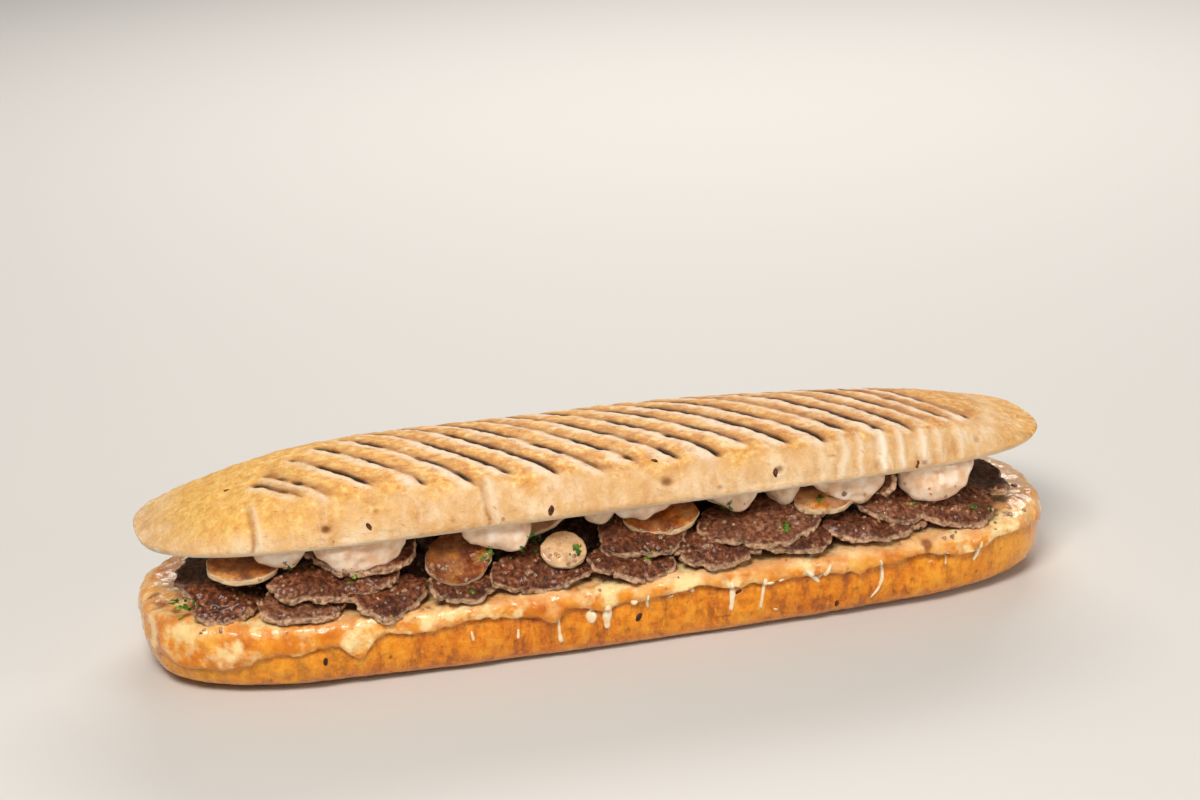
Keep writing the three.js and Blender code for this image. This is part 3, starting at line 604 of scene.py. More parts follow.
flat = lid_loops.reshape(-1, 3)
upper = np.tile(np.concatenate([np.ones(LID_ROWS), np.zeros(UNDER_ROWS)]), LID_COLUMNS)
slant = flat[:, 0] + GROOVE_SHEAR * flat[:, 1]
steep = 1 / math.hypot(1, GROOVE_SHEAR)
inset = outline_level(PRESSED_INSET * flat[:, 0], PRESSED_INSET * flat[:, 1])
far_left = 15 + 0.9 * (flat[:, 0] + 76) - flat[:, 1]
cut = np.zeros(len(flat))
char = np.zeros(len(flat))
strip = np.zeros(len(flat))
halo = np.zeros(len(flat))
within = unit(far_left / 3)
for k in range(GROOVE_COUNT):
    order = max(k - 1, -0.45)
    centre = FIRST_GROOVE + GROOVE_PITCH * order * (1 - GROOVE_CLOSING * order)
    own_place = np.column_stack([flat[:, 1], np.full(len(flat), 31.0 * k), np.zeros(len(flat))])
    own = grain(own_place, 9.0, 20)
    fine_own = grain(own_place, 3.0, 21)
    aside = (slant - centre) * steep + 0.25 * own + 0.15 * fine_own
    end = 1.03 + 0.12 * math.sin(2.1 * k)
    pressed = unit((end - inset) / 0.18) * within
    depth = np.clip(0.6 + 1.3 * own + 0.4 * fine_own, 0.08, 1.0)
    taper = 0.45 + 0.55 * unit((end - inset) / 0.35)
    width = (0.3 + 0.55 * depth) * taper * np.where(aside > 0, 1.2, 0.75)
    cut += GROOVE_DEPTH * pressed * depth * hill(aside, width)
    cut += PRESSED_HOLLOW * pressed * hill(aside - 0.8, 2.6)
    dark_line = hill(aside - 0.25, 0.95 * width + 0.18, 4)
    char = np.maximum(char, pressed * np.clip(1.6 * depth - 0.1, 0.2, 1) * dark_line)
    # Painted highlight: a pale strip on the left of each groove, where the rounded ridge would catch the back
    # light.
    left_side = unit((-aside - 0.4) / 0.5) * unit((4.8 + 1.8 * own + aside) / 2.6)
    strip = np.maximum(strip, left_side * unit((end + 0.1 - inset) / 0.2) * within)
    halo = np.maximum(halo, pressed * unit(1 - np.abs(aside - 1.0) / 3.0))
flat[:, 2] -= upper * np.minimum(cut, np.maximum(0, flat[:, 2] - LID_EDGE))

# Toasted crust: floury and pale where the plate never touched it, golden to brown on the ridges
# and nearly black in the grooves; dry, grainy and only faintly shiny. Painted highlights lie in pale
# strips beside the grooves and along the side's creases and crack lips, and painted shade darkens
# the cracks.
lid_crust, tree, surface = new_material("toasted bread crust")
broad, mottle, fine, grit, blotch, coarse = clouds(
    tree, (18.0, 4.0, 0.6), (3.0, 4.0, 0.65), (0.8, 3.0, 0.65), (0.4, 2.0, 0.6),
    (6.5, 5.0, 0.65, (1.0, 1.0, 0.6)), (1.5, 4.0, 0.7),
)
pale = coated(
    tree, (broad, ((0.32, "#d9a163"), (0.5, "#e6b880"), (0.66, "#f3d2a6"))),
    (0.5, (blotch, ((0.34, "#cc8f4e"), (0.5, "#e6b981"), (0.64, "#fae3c0")))),
)
golden = coated(
    tree, (mottle, ((0.3, "#b9671a"), (0.42, "#e29838"), (0.54, "#f4b962"), (0.67, "#fde0a6"))),
    ("gold", (mottle, ((0.28, "#dc8f2c"), (0.45, "#efb04c"), (0.6, "#f6c468"), (0.75, "#fbdc9a")))),
)
uneven = {0: told(tree, "toast"), 1: told(tree, (mottle, 0.3, 0.7, -0.25, 0.25))}
toast = node(tree, "ShaderNodeMath", uneven, operation="ADD").outputs[0]
fill(tree, surface, {
    "Base Color": coated(
        tree, pale,
        (node(tree, "ShaderNodeClamp", {"Value": toast}).outputs[0], golden),
        # Painted highlight: pale cream over the ridge strips beside the grooves.
        ([(mottle, 0.3, 0.55, 0.45, 1.0), "strip"], "#f8dfbf"),
        ((fine, 0.58, 0.74, 0.0, 0.4), "#f9e2b8"),
        # Pale coat: painted highlight on creases and crack lips. Brown coat: browning, and painted shade in
        # the cracks.
        ("sheen", "#fff0d6"), ("brown", "#a35a18"), ("char", "#1d0a03"), ("crumb", "#f4e2c4"),
    ),
    "Roughness": told(tree, (mottle, 0.3, 0.7, 0.42, 0.62)),
    "Subsurface Weight": 0.08, "Subsurface Radius": (1.0, 0.55, 0.25), "Subsurface Scale": 2.0 * MM,
})
relief(tree, surface, [(mottle, 0.8), (fine, 0.3), (grit, 0.1), (told(tree, [coarse, "toast"]), 0.25)])

first_tip = lid_loops[0].mean(axis=0)
last_tip = lid_loops[-1].mean(axis=0)
lid = closed_mesh("upper_roll", lid_loops, first_tip, last_tip, lid_crust, turned=True)
points, normals = read_points(lid)
x, y, z = points.T
two_tips = np.zeros(2)
char, upper = np.concatenate([char, two_tips]), np.concatenate([upper, two_tips])
strip, halo = np.concatenate([strip, two_tips]), np.concatenate([halo, two_tips])
inset = np.concatenate([inset, two_tips + 1.5])
wall = unit(1 - np.abs(normals[:, 2]) / 0.75) * upper
foot = unit((z - 0.6) / 2.0)
region = unit(0.25 + 0.9 * grain(points, (30, 30, 60), 22))
wrinkled_end = hill(x - 86, 22) * (y < 0)
region = np.maximum(region, wrinkled_end)
crease = grain(points, (4.2, 4.2, 24), 23)
creases = -0.7 * region * np.maximum(0, 1 - 6 * np.abs(crease))
folds = 0.5 * grain(points, (14, 14, 7), 24) + 0.25 * grain(points, (5, 5, 4), 25)
folds += 0.35 * np.maximum(0, grain(points, 4.0, 30) - 0.5)
near_side = y < 0
at_side = near_side * unit((outline_level(x, y) - 0.5) / 0.2)
split = np.zeros(len(points))
lip_highlight = np.zeros(len(points))
for place_x, crack_depth, half in CRACKS:
    wander = 1.8 * grain(points, (400, 400, 7), 33 + int(place_x)) + 0.4 * grain(points, (400, 400, 2.5), 34)
    aside = x - place_x - wander
    split -= at_side * crack_depth * hill(aside, half)
    lip = at_side * hill(aside - 2.1 * half, 1.2 * half)
    split += 0.7 * crack_depth * lip
    # Painted highlight along the raised lip beside each crack.
    lip_highlight = np.maximum(lip_highlight, lip * min(1, crack_depth))
pitted = np.zeros(len(points))
pit_relief = np.zeros(len(points))
for place_x, level, radius, pit_depth, browned in PITS:
    away = np.hypot(x - place_x, 1.3 * (z - level)) / radius
    pit_relief -= near_side * pit_depth * hill(away, 1)
    pit_relief += near_side * 0.35 * abs(pit_depth) * hill(away - 1.6, 0.5)
    pitted = np.maximum(pitted, near_side * browned * hill(away * 1.1, 1, 4))
points += normals * (wall * foot * (creases + folds) + upper * (pit_relief + foot * split))[:, None]
ridges = upper * (1 - wall) * foot
points += normals * (ridges * (0.3 * grain(points, 3.2, 26) + 0.16 * grain(points, 1.4, 27)))[:, None]
tilt_z = LOWER_HEIGHT + MOUTH_HEIGHT - HALF_WIDTH * math.tan(LID_TILT)
tipped = points.copy()
tipped[:, 1] = y * math.cos(LID_TILT) + z * math.sin(LID_TILT)
tipped[:, 2] = z * math.cos(LID_TILT) - y * math.sin(LID_TILT) + tilt_z
move_points(lid, tipped)
patches = 0.22 * grain(points, 9.0, 31) + 0.12 * grain(points, 3.5, 32)
toasted_top = unit((1.3 + patches - inset) / 0.35)
gold = unit((-x - 55) / 60)
golden_left = gold * unit((z - 1.5) / 8)
golden_right = unit((x - 116) / 18) * 0.8
paint(lid, "toast", upper * np.maximum.reduce([toasted_top, golden_left, golden_right]))
paint(lid, "gold", gold)
# Painted highlight on the ridges beside the grooves, weaker where the lid is golden.
paint(lid, "strip", upper * strip * (1 - 0.5 * gold))
paint(lid, "char", np.maximum(char, 0.6 * pitted ** 2))
# Painted shade: the cracks in the side are darkened brown, broken up along their length and weaker at the
# wrinkled right end.
broken = unit(0.55 + 1.1 * grain(points, (400, 400, 4.5), 35)) * (1 - 0.75 * wrinkled_end)
crack_shade = 0.8 * unit(-1.9 * split - 0.7) * broken
specks = unit(7 * (grain(points, (1.7, 1.7, 1.7), 28) - 0.84))
warm = 0.6 * halo + 0.5 * unit(grain(points, 6.0, 29) - 0.3) * toasted_top * (1 - strip)
dark_right = 0.22 * unit((x - 20) / 100) * toasted_top * (1 - strip)
# Brown coat: specks, toasting round the grooves, a darker right end and browned pits, plus painted shade in
# the cracks.
paint(lid, "brown", upper * np.maximum.reduce([specks * 0.8, warm + dark_right, pitted, crack_shade]))
paint(lid, "crumb", 1 - upper)
# Painted highlights: light lines beside the side's creases and along the crack lips, strongest at the
# wrinkled right end.
lit_side = unit(1 - 7 * np.abs(crease - 0.24)) * (region > 0.35)
sheen = np.maximum(wall * lit_side * (0.3 + 0.5 * wrinkled_end), lip_highlight * (0.4 + 0.6 * wrinkled_end))
paint(lid, "sheen", upper * foot * sheen)
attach(lid, "root")
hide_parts("top_bun")


# ---- Kebab meat: slices shaved from a spit of minced meat, grey brown and grainy, their cut edges
# ragged and a little paler. They lie loose on each other and on a mound of fine shavings.
MEAT_FIBRE = 1.4
WELD = 0.02
CREASE_WEIGHT = 0.55
SHARP_EDGE = 40
FINE, COARSE = 4, 3
SLICE_TEAR = 2.1
SLICE_WAVE = 1.9
SLICE_SWELL = 0.5
LAST_NEAR_SLICE = 23
HIDDEN_SLICE = 21
BROWNED_THROUGH = 0.08
# How pink each slice is inside; the others are browned through.
PINK_SLICES = {
    2: 0.95, 3: 0.2, 5: 0.4, 7: 0.3, 9: 0.45, 10: 0.5, 11: 0.35, 13: 0.75, 14: 0.5, 16: 0.45,
    20: 0.9, 21: 0.5, 22: 0.5,
}


def carved(name, piece_name, levels, sharp_degrees):
    """A copy of a solid's mesh with shared points and smooth finer faces."""
    mesh = bpy.data.meshes.new(piece_name)
    shape = bmesh.new()
    shape.from_mesh(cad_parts[name].data)
    bmesh.ops.remove_doubles(shape, verts=shape.verts, dist=WELD * MM)
    bmesh.ops.dissolve_degenerate(shape, edges=shape.edges, dist=WELD * MM)
    bmesh.ops.recalc_face_normals(shape, faces=shape.faces)
    sharp = shape.edges.layers.float.new("crease_edge")
    for edge in shape.edges:
        if len(edge.link_faces) == 2 and math.degrees(edge.calc_face_angle(0.0)) > sharp_degrees:
            edge[sharp] = CREASE_WEIGHT
        edge.smooth = True
    shape.to_mesh(mesh)
    shape.free()
    piece = put(piece_name + "_rough", mesh)
    smooth = piece.modifiers.new("smooth", "SUBSURF")
    smooth.levels = smooth.render_levels = levels
    ready = piece.evaluated_get(bpy.context.evaluated_depsgraph_get())
    finished = bpy.data.meshes.new_from_object(ready)
    bpy.data.objects.remove(piece)
    finished.materials.clear()
    finished.polygons.foreach_set("use_smooth", np.ones(len(finished.polygons), bool))
    return put(piece_name, finished)


def numbered(kind):
    """The names and numbers of the solids of one kind, in order."""
    names = sorted(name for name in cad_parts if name.startswith(kind))
    return [(name, int(name[len(kind):])) for name in names if name[len(kind):].isdigit()]


# Roast meat: dark and grainy like coarse mince, paler along its frayed rim, with wet glints of fat,
# and near black with painted shade where it lies deep inside the roll.
meat, tree, surface = new_material("roast shaved meat")
broad, mince, glint = clouds(tree, (9.0, 3.0, 0.6), (1.5, 5.0, 0.62), (0.8, 3.0, 0.6))
spot = node(tree, "ShaderNodeTexCoord").outputs["Object"]
cells = node(tree, "ShaderNodeTexVoronoi", {"Vector": spot, "Scale": 1 / (MEAT_FIBRE * MM)})
frayed = told(tree, ["rim", (mince, 0.35, 0.6, 0.4, 1.0)])
fill(tree, surface, {
    "Base Color": coated(
        tree, (mince, ((0.3, "#260c03"), (0.45, "#52230c"), (0.58, "#824420"), (0.74, "#bb7a4c"))),
        ("tone", (mince, ((0.3, "#4a2412"), (0.45, "#7c482c"), (0.58, "#a36c4e"), (0.74, "#d29f7e")))),
        ((broad, 0.42, 0.66, 0.0, 0.6), "#3a1405"), ((frayed, 0.15, 0.8, 0.0, 0.8), "#e8bd96"),
        # Painted shade: near black over the meat that lies deep in the roll.
        ("deep", "#1c0803"),
    ),
    "Roughness": told(tree, (glint, 0.42, 0.6, 0.22, 0.6)),
    "Coat Weight": 0.25, "Coat Roughness": 0.15,
    "Subsurface Weight": 0.05, "Subsurface Radius": (1.0, 0.4, 0.25), "Subsurface Scale": 1.0 * MM,
})
relief(tree, surface, [(mince, 1.0), (cells.outputs["Distance"], 0.4), (glint, 0.15)])


def rumpled(piece, seed, tear, wave, swell, dip):
    """Tears a flat piece's edge, bends and thickens it, and dips it towards the roll's side; returns
    how near each point is to its rim."""
    points, normals = read_points(piece)
    middle = points.mean(axis=0)
    dip = math.radians(dip) * np.sign(-middle[1]) * unit((abs(middle[1]) - 14) / 8)
    dip_cos, dip_sin = math.cos(dip), math.sin(dip)
    level = points[:, 1:] - middle[1:]
    points[:, 1] = middle[1] + level[:, 0] * dip_cos - level[:, 1] * dip_sin
    points[:, 2] = middle[2] + level[:, 1] * dip_cos + level[:, 0] * dip_sin + 4 * abs(dip)
    upright = normals.copy()
    normals[:, 1] = upright[:, 1] * dip_cos - upright[:, 2] * dip_sin
    normals[:, 2] = upright[:, 2] * dip_cos + upright[:, 1] * dip_sin
    spread = np.linalg.eigh((points - middle).T @ (points - middle))[1]
    thin, across, along = spread[:, 0], spread[:, 1], spread[:, 2]
    offset = points - middle
    flat_points = points - (offset @ thin)[:, None] * thin
    wide, long = offset @ across, offset @ along
    rounds = np.hypot(wide / np.abs(wide).max(), long / np.abs(long).max())
    outward = (flat_points - middle) / np.maximum(1e-6, np.linalg.norm(flat_points - middle, axis=1))[:, None]
    torn = grain(flat_points, 11.0, seed) + 0.35 * grain(flat_points, 3.2, seed + 1)
    torn -= 1.1 * np.maximum(0, 1 - 8 * np.abs(grain(flat_points, 9.5, seed + 2)))
    bent = grain(flat_points, 12.0, seed + 3) + 0.45 * grain(flat_points, 5.0, seed + 4)
    rim_share = 1 - np.abs(normals @ thin)
    points += outward * (tear * np.clip(rounds, 0, 1.1) ** 3 * torn)[:, None]
    points += thin * (wave * bent)[:, None] + normals * swell
    move_points(piece, points)
    return rim_share


mound = carved("meat_mound", "meat_shavings_mound", FINE, 60)
mound.data.materials.append(meat)
points, normals = read_points(mound)
crumbs = 1.3 * grain(points, 6.0, 36) + 1.1 * grain(points, 3.0, 37) + 0.5 * grain(points, 1.5, 38)
points += normals * (unit((points[:, 2] - 24) / 2) * crumbs)[:, None]
move_points(mound, points)
paint(mound, "rim", 0.3 + 0.6 * grain(points, 3.0, 39))
# Painted shade: the whole mound is darkened, as if in the shadow under the heap.
paint(mound, "deep", np.full(len(points), 0.5))
paint(mound, "tone", 0.2 + 0.4 * grain(points, 9.0, 40))
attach(mound, "root")
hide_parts("meat_mound")
filling = [mound]

for name, number in numbered("meat_"):
    levels = FINE if number <= LAST_NEAR_SLICE and number != HIDDEN_SLICE else COARSE
    slice_piece = carved(name, f"kebab_slice_{number:02d}", levels, SHARP_EDGE)
    slice_piece.data.materials.append(meat)
    dip = 11 + 5 * math.sin(2.7 * number)
    rim_share = rumpled(slice_piece, 200 + 7 * number, SLICE_TEAR, SLICE_WAVE, SLICE_SWELL, dip)
    points, normals = read_points(slice_piece)
    rough = 0.3 * grain(points, 2.4, 31) + 0.22 * grain(points, 1.2, 32)
    frayed_edge = 0.7 * grain(points, 1.8, 33) + 0.4 * grain(points, 0.9, 34)
    points += normals * (rough + rim_share * frayed_edge)[:, None]
    move_points(slice_piece, points)
    paint(slice_piece, "rim", rim_share + 0.25 * np.maximum(0, grain(points, 5.0, 35)))
    pink = PINK_SLICES.get(number, BROWNED_THROUGH)
    paint(slice_piece, "tone", pink + 0.25 * grain(points, 8.0, 44))
    # Painted shade: slices darker towards the middle of the roll, under the lid.
    paint(slice_piece, "deep", np.clip((22 - np.abs(points[:, 1])) / 12, 0, 0.6))
    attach(slice_piece, "root")
    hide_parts(name)
    filling.append(slice_piece)


# ---- Fried mushroom: slices through cap and stem, golden brown on the fried face, cream at the
# flesh and rim, glossy with fat. They lie loose between the slices of meat.
USUAL_DIP = 9
FAR_MUSHROOM = 7
# By number: how much pale flesh shows, how darkly it is fried, and which one dips more, in degrees.
PALE_FLESH = {1: 0.0, 2: 0.9, 3: 0.15, 4: 0.55, 5: 0.1, 6: 0.25, 7: 0.1}
WELL_FRIED = {1: 0.5}
STEEPER = {4: 30}

# Fried mushroom: deep golden brown, blotched, pale at the rim, with a wet shine of fat.
mushroom, tree, surface = new_material("fried mushroom flesh")
broad, fine = clouds(tree, (6.0, 4.0, 0.62), (1.3, 4.0, 0.6))
fill(tree, surface, {
    "Base Color": coated(
        tree, (broad, ((0.32, "#4a1a03"), (0.45, "#8c3f08"), (0.56, "#c46f14"), (0.7, "#eaab50"))),
        ((fine, 0.45, 0.68, 0.0, 0.5), "#561f05"),
        ("flesh", (broad, ((0.35, "#b98a60"), (0.55, "#dcb688"), (0.75, "#efd5ad")))),
        ("dark", "#561c00"), (("rim", 0.3, 0.75, 0.0, 0.85), "#ecd0a4"),
    ),
    "Roughness": told(tree, (fine, 0.35, 0.65, 0.18, 0.4)),
    "Coat Weight": 0.5, "Coat Roughness": 0.1,
    "Subsurface Weight": 0.12, "Subsurface Radius": (1.0, 0.6, 0.3), "Subsurface Scale": 1.5 * MM,
})
relief(tree, surface, [(broad, 0.8), (fine, 0.5)])

for name, number in numbered("mushroom_"):
    levels = FINE if number < FAR_MUSHROOM else COARSE
    piece = carved(name, f"fried_mushroom_{number:02d}", levels, SHARP_EDGE)
    piece.data.materials.append(mushroom)
    dip = STEEPER.get(number, USUAL_DIP)
    rim_share = rumpled(piece, 500 + 7 * number, tear=0.45, wave=0.6, swell=0.3, dip=dip)
    points, normals = read_points(piece)
    points += normals * (0.2 * grain(points, 2.2, 41) + 0.35 * rim_share * grain(points, 2.4, 42))[:, None]
    move_points(piece, points)
    paint(piece, "rim", rim_share)
    paint(piece, "flesh", PALE_FLESH[number] + 0.25 * grain(points, 5.0, 43))
    paint(piece, "dark", WELL_FRIED.get(number, 0.0) * (1 + 0.8 * grain(points, 6.0, 45)))
    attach(piece, "root")
    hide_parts(name)
    filling.append(piece)


# ---- White sauce: thick garlic yoghurt sauce, dolloped on the heap and pressed by the lid, so that
# it bulges out under the lid's edge and sags over the slices.
SAUCE_SPREAD = 1.18
SAUCE_BULGE = 1.15
NO_SHARP_EDGE = 181
# How far each dollop sags, as a share of its height.
SAUCE_SAG = {1: 0.2, 2: 0.35, 3: 0.5, 4: 0.05, 5: 0.0, 6: 0.15, 7: -0.05, 8: 0.45, 9: 0.25, 10: 0.2, 11: 0.2}

# Yoghurt sauce: creamy white with faint warm clouds, smooth and wet, and light sinks into it.
sauce, tree, surface = new_material("garlic yoghurt sauce")
[cloud] = clouds(tree, (4.0, 3.0, 0.5))
fill(tree, surface, {
    "Base Color": told(tree, (cloud, ((0.35, "#dfb38c"), (0.52, "#efd0b2"), (0.7, "#fbe9d6")))),
    "Roughness": 0.2, "Coat Weight": 0.4, "Coat Roughness": 0.08,
    "Subsurface Weight": 0.25, "Subsurface Radius": (1.0, 0.65, 0.45), "Subsurface Scale": 1.5 * MM,
})
relief(tree, surface, [(cloud, 0.5)])

for name, number in numbered("sauce_"):
    piece = carved(name, f"sauce_dollop_{number:02d}", COARSE, NO_SHARP_EDGE)
    piece.data.materials.append(sauce)
    points, normals = read_points(piece)
    middle, top = points.mean(axis=0), points[:, 2].max()
    facing = math.copysign(1.0, middle[1])
    outward = np.maximum(0, (points[:, 1] - middle[1]) * facing)
    front = outward.max()
    points[:, 0] = middle[0] + SAUCE_SPREAD * (points[:, 0] - middle[0])
    points[:, 1] += facing * (SAUCE_BULGE * front * np.tanh(1.6 * outward / front) - outward)
    points[:, 2] -= SAUCE_SAG[number] * (top - points[:, 2])
    uneven = 2.3 * grain(points, 7.5, 51) + 0.7 * grain(points, 3.2, 52)
    points += normals * (uneven * unit((top - points[:, 2]) / 2))[:, None]
    move_points(piece, points)
    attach(piece, "root")
    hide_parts(name)
    filling.append(piece)


# ---- Runs of thin sauce: they left the filling while it was hot and set on the lower roll's side,
# as drops, short strands and a splash. Each is a rope of sauce lying on the crust.
RUN_ROWS = 18
RUN_SIDES = 12
RUN_FLATNESS = 0.75
RUN_START = -80.0
# Each run from its top down, as (place along the roll, height, half-width).
RUNS = (
    ((-20.6, 15.0, 0.5), (-20.8, 11.5, 0.45), (-20.6, 8.2, 0.6), (-20.2, 6.4, 1.3)),
    ((-11.0, 16.0, 0.9), (-10.8, 13.6, 1.9), (-10.8, 11.4, 1.5)),
    ((-5.8, 17.0, 1.2), (-6.0, 13.5, 1.7), (-6.2, 10.6, 1.2), (-6.0, 9.0, 1.5)),
    ((2.0, 17.4, 1.1), (2.1, 16.2, 1.1)),
    ((6.4, 18.6, 0.4), (6.2, 16.0, 0.6), (6.5, 13.6, 0.4)),
    ((32.2, 18.6, 0.5), (32.8, 15.0, 1.1), (32.4, 11.4, 0.7), (32.0, 9.0, 1.0)),
    ((42.6, 18.4, 0.9), (42.2, 14.0, 0.5), (41.4, 10.6, 0.5), (41.2, 8.6, 0.9)),
    ((42.4, 17.0, 0.4), (45.0, 16.8, 0.6), (48.4, 17.3, 0.4)),
    ((55.0, 20.0, 0.6), (57.4, 17.0, 1.0), (59.6, 14.2, 0.7)),
    ((63.0, 20.4, 0.4), (61.2, 17.2, 0.9), (58.6, 15.2, 0.5)),
    ((78.6, 19.4, 0.5), (80.0, 15.0, 0.55), (79.4, 10.0, 0.55), (76.0, 6.0, 0.4)),
    ((112.2, 19.0, 0.5), (111.4, 15.5, 0.9), (109.8, 12.6, 0.5)),
    ((100.6, 17.8, 0.4), (100.4, 13.4, 0.35)),
    ((-47.0, 14.0, 0.4), (-46.6, 11.0, 0.6)),
    ((-33.0, 12.5, 0.4), (-33.2, 9.6, 0.55)),
    ((20.0, 18.4, 0.5), (20.6, 16.6, 0.9)),
    ((13.6, 16.8, 0.9), (13.7, 16.0, 0.9)),
    ((45.2, 7.6, 0.4), (46.4, 6.8, 0.5)),
)


def search_tree(piece):
    """A piece's faces, to look up where a ray meets them, in millimetres."""
    corners = [vertex.co / MM for vertex in piece.data.vertices]
    return BVHTree.FromPolygons(corners, [tuple(face.vertices) for face in piece.data.polygons])


def joined(name, pieces):
    """One piece from several."""
    shape = bmesh.new()
    for piece in pieces:
        shape.from_mesh(piece.data)
    mesh = bpy.data.meshes.new(name)
    shape.to_mesh(mesh)
    shape.free()
    mesh.materials.append(pieces[0].data.materials[0])
    for piece in pieces:
        bpy.data.objects.remove(piece)
    return put(name, mesh)


# Set sauce: warm cream, smooth and almost glassy, like a drop that has dried on its outside.
set_sauce, tree, surface = new_material("set sauce and cheese")
[cloud] = clouds(tree, (3.0, 3.0, 0.55))
fill(tree, surface, {
    "Base Color": told(tree, (cloud, ((0.35, "#f0c88e"), (0.5, "#f8dfb6"), (0.7, "#fff1da")))),
    "Roughness": 0.15, "Coat Weight": 0.6, "Coat Roughness": 0.05,
    "Subsurface Weight": 0.2, "Subsurface Radius": (1.0, 0.6, 0.3), "Subsurface Scale": 1.0 * MM,
})

under_runs = [search_tree(bottom), search_tree(sheet)]
strands = []
for run in RUNS:
    spots = rounded(run, RUN_ROWS, 2)
    rings = np.empty((RUN_ROWS, RUN_SIDES, 3))
    heart, out = np.empty((RUN_ROWS, 3)), np.empty((RUN_ROWS, 3))
    for i, (x, z, _) in enumerate(spots):
        start, ahead = Vector((x, RUN_START, z)), Vector((0, 1, 0))
        found = [search.ray_cast(start, ahead) for search in under_runs]
        hit = min((h for h in found if h[0] is not None), key=lambda h: h[3])
        heart[i], out[i] = hit[0], hit[1]
    for i in range(RUN_ROWS):
        along = heart[min(i + 1, RUN_ROWS - 1)] - heart[max(i - 1, 0)]
        side = np.cross(along, out[i])
        side /= np.linalg.norm(side)
        end = math.sin(math.pi * (i + 0.5) / RUN_ROWS) ** 0.25
        for j in range(RUN_SIDES):
            turn = 2 * math.pi * j / RUN_SIDES
            reach = spots[i, 2] * end
            rings[i, j] = heart[i] + side * reach * math.cos(turn)
            rings[i, j] += out[i] * RUN_FLATNESS * reach * math.sin(turn)
    strands.append(closed_mesh("strand", rings, heart[0], heart[-1], set_sauce))
runs = joined("sauce_runs", strands)
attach(runs, "root")


# ---- Small loose things on the filling: chopped parsley, crumbs of meat and beads of fat, and the
# charred seeds in the crust. They fell or spattered there and stick where they landed.
THROW = Vector((-166, -824, 386))
NEAR_FACE = -33.0
CRUMB_SUNK = 0.1
SEED_SUNK = 0.15
# Each as (place along the roll, height, spread, count).
PARSLEY = (
    (-128.6, 31.8, 4.4, 16), (-97, 39.5, 3.0, 7), (-39, 35.4, 3.4, 16), (-26, 37.2, 3.6, 18),
    (-44.6, 24.8, 0.8, 2), (-13, 32.4, 2.4, 6), (-2, 41.5, 1.2, 4), (51, 31.2, 2.4, 10),
    (91.9, 33.6, 1.2, 4), (93, 23.9, 1.0, 3), (34, 39.6, 2.0, 6), (62, 38.8, 1.4, 4),
    (-80, 32.0, 3.0, 3), (10, 28.0, 3.0, 2), (112, 30.0, 3.0, 2),
)
FAT = (
    (15.9, 35.2, 1.2, 3), (13.0, 33.0, 1.5, 3), (13.7, 16.4, 0.3, 1), (66, 36, 5, 3), (-50, 31, 5, 4),
    (-110, 31, 6, 4),
)
# Seeds as (place along the roll, height).
LID_SEEDS = ((-113.9, 66.0), (11.9, 58.0), (48.6, 49.5), (-74.0, 49.0), (93.0, 46.0), (-20.0, 46.5))
BUN_SEEDS = ((5.0, 8.3), (66.7, 3.6), (-90.0, 8.0), (36.0, 12.0))


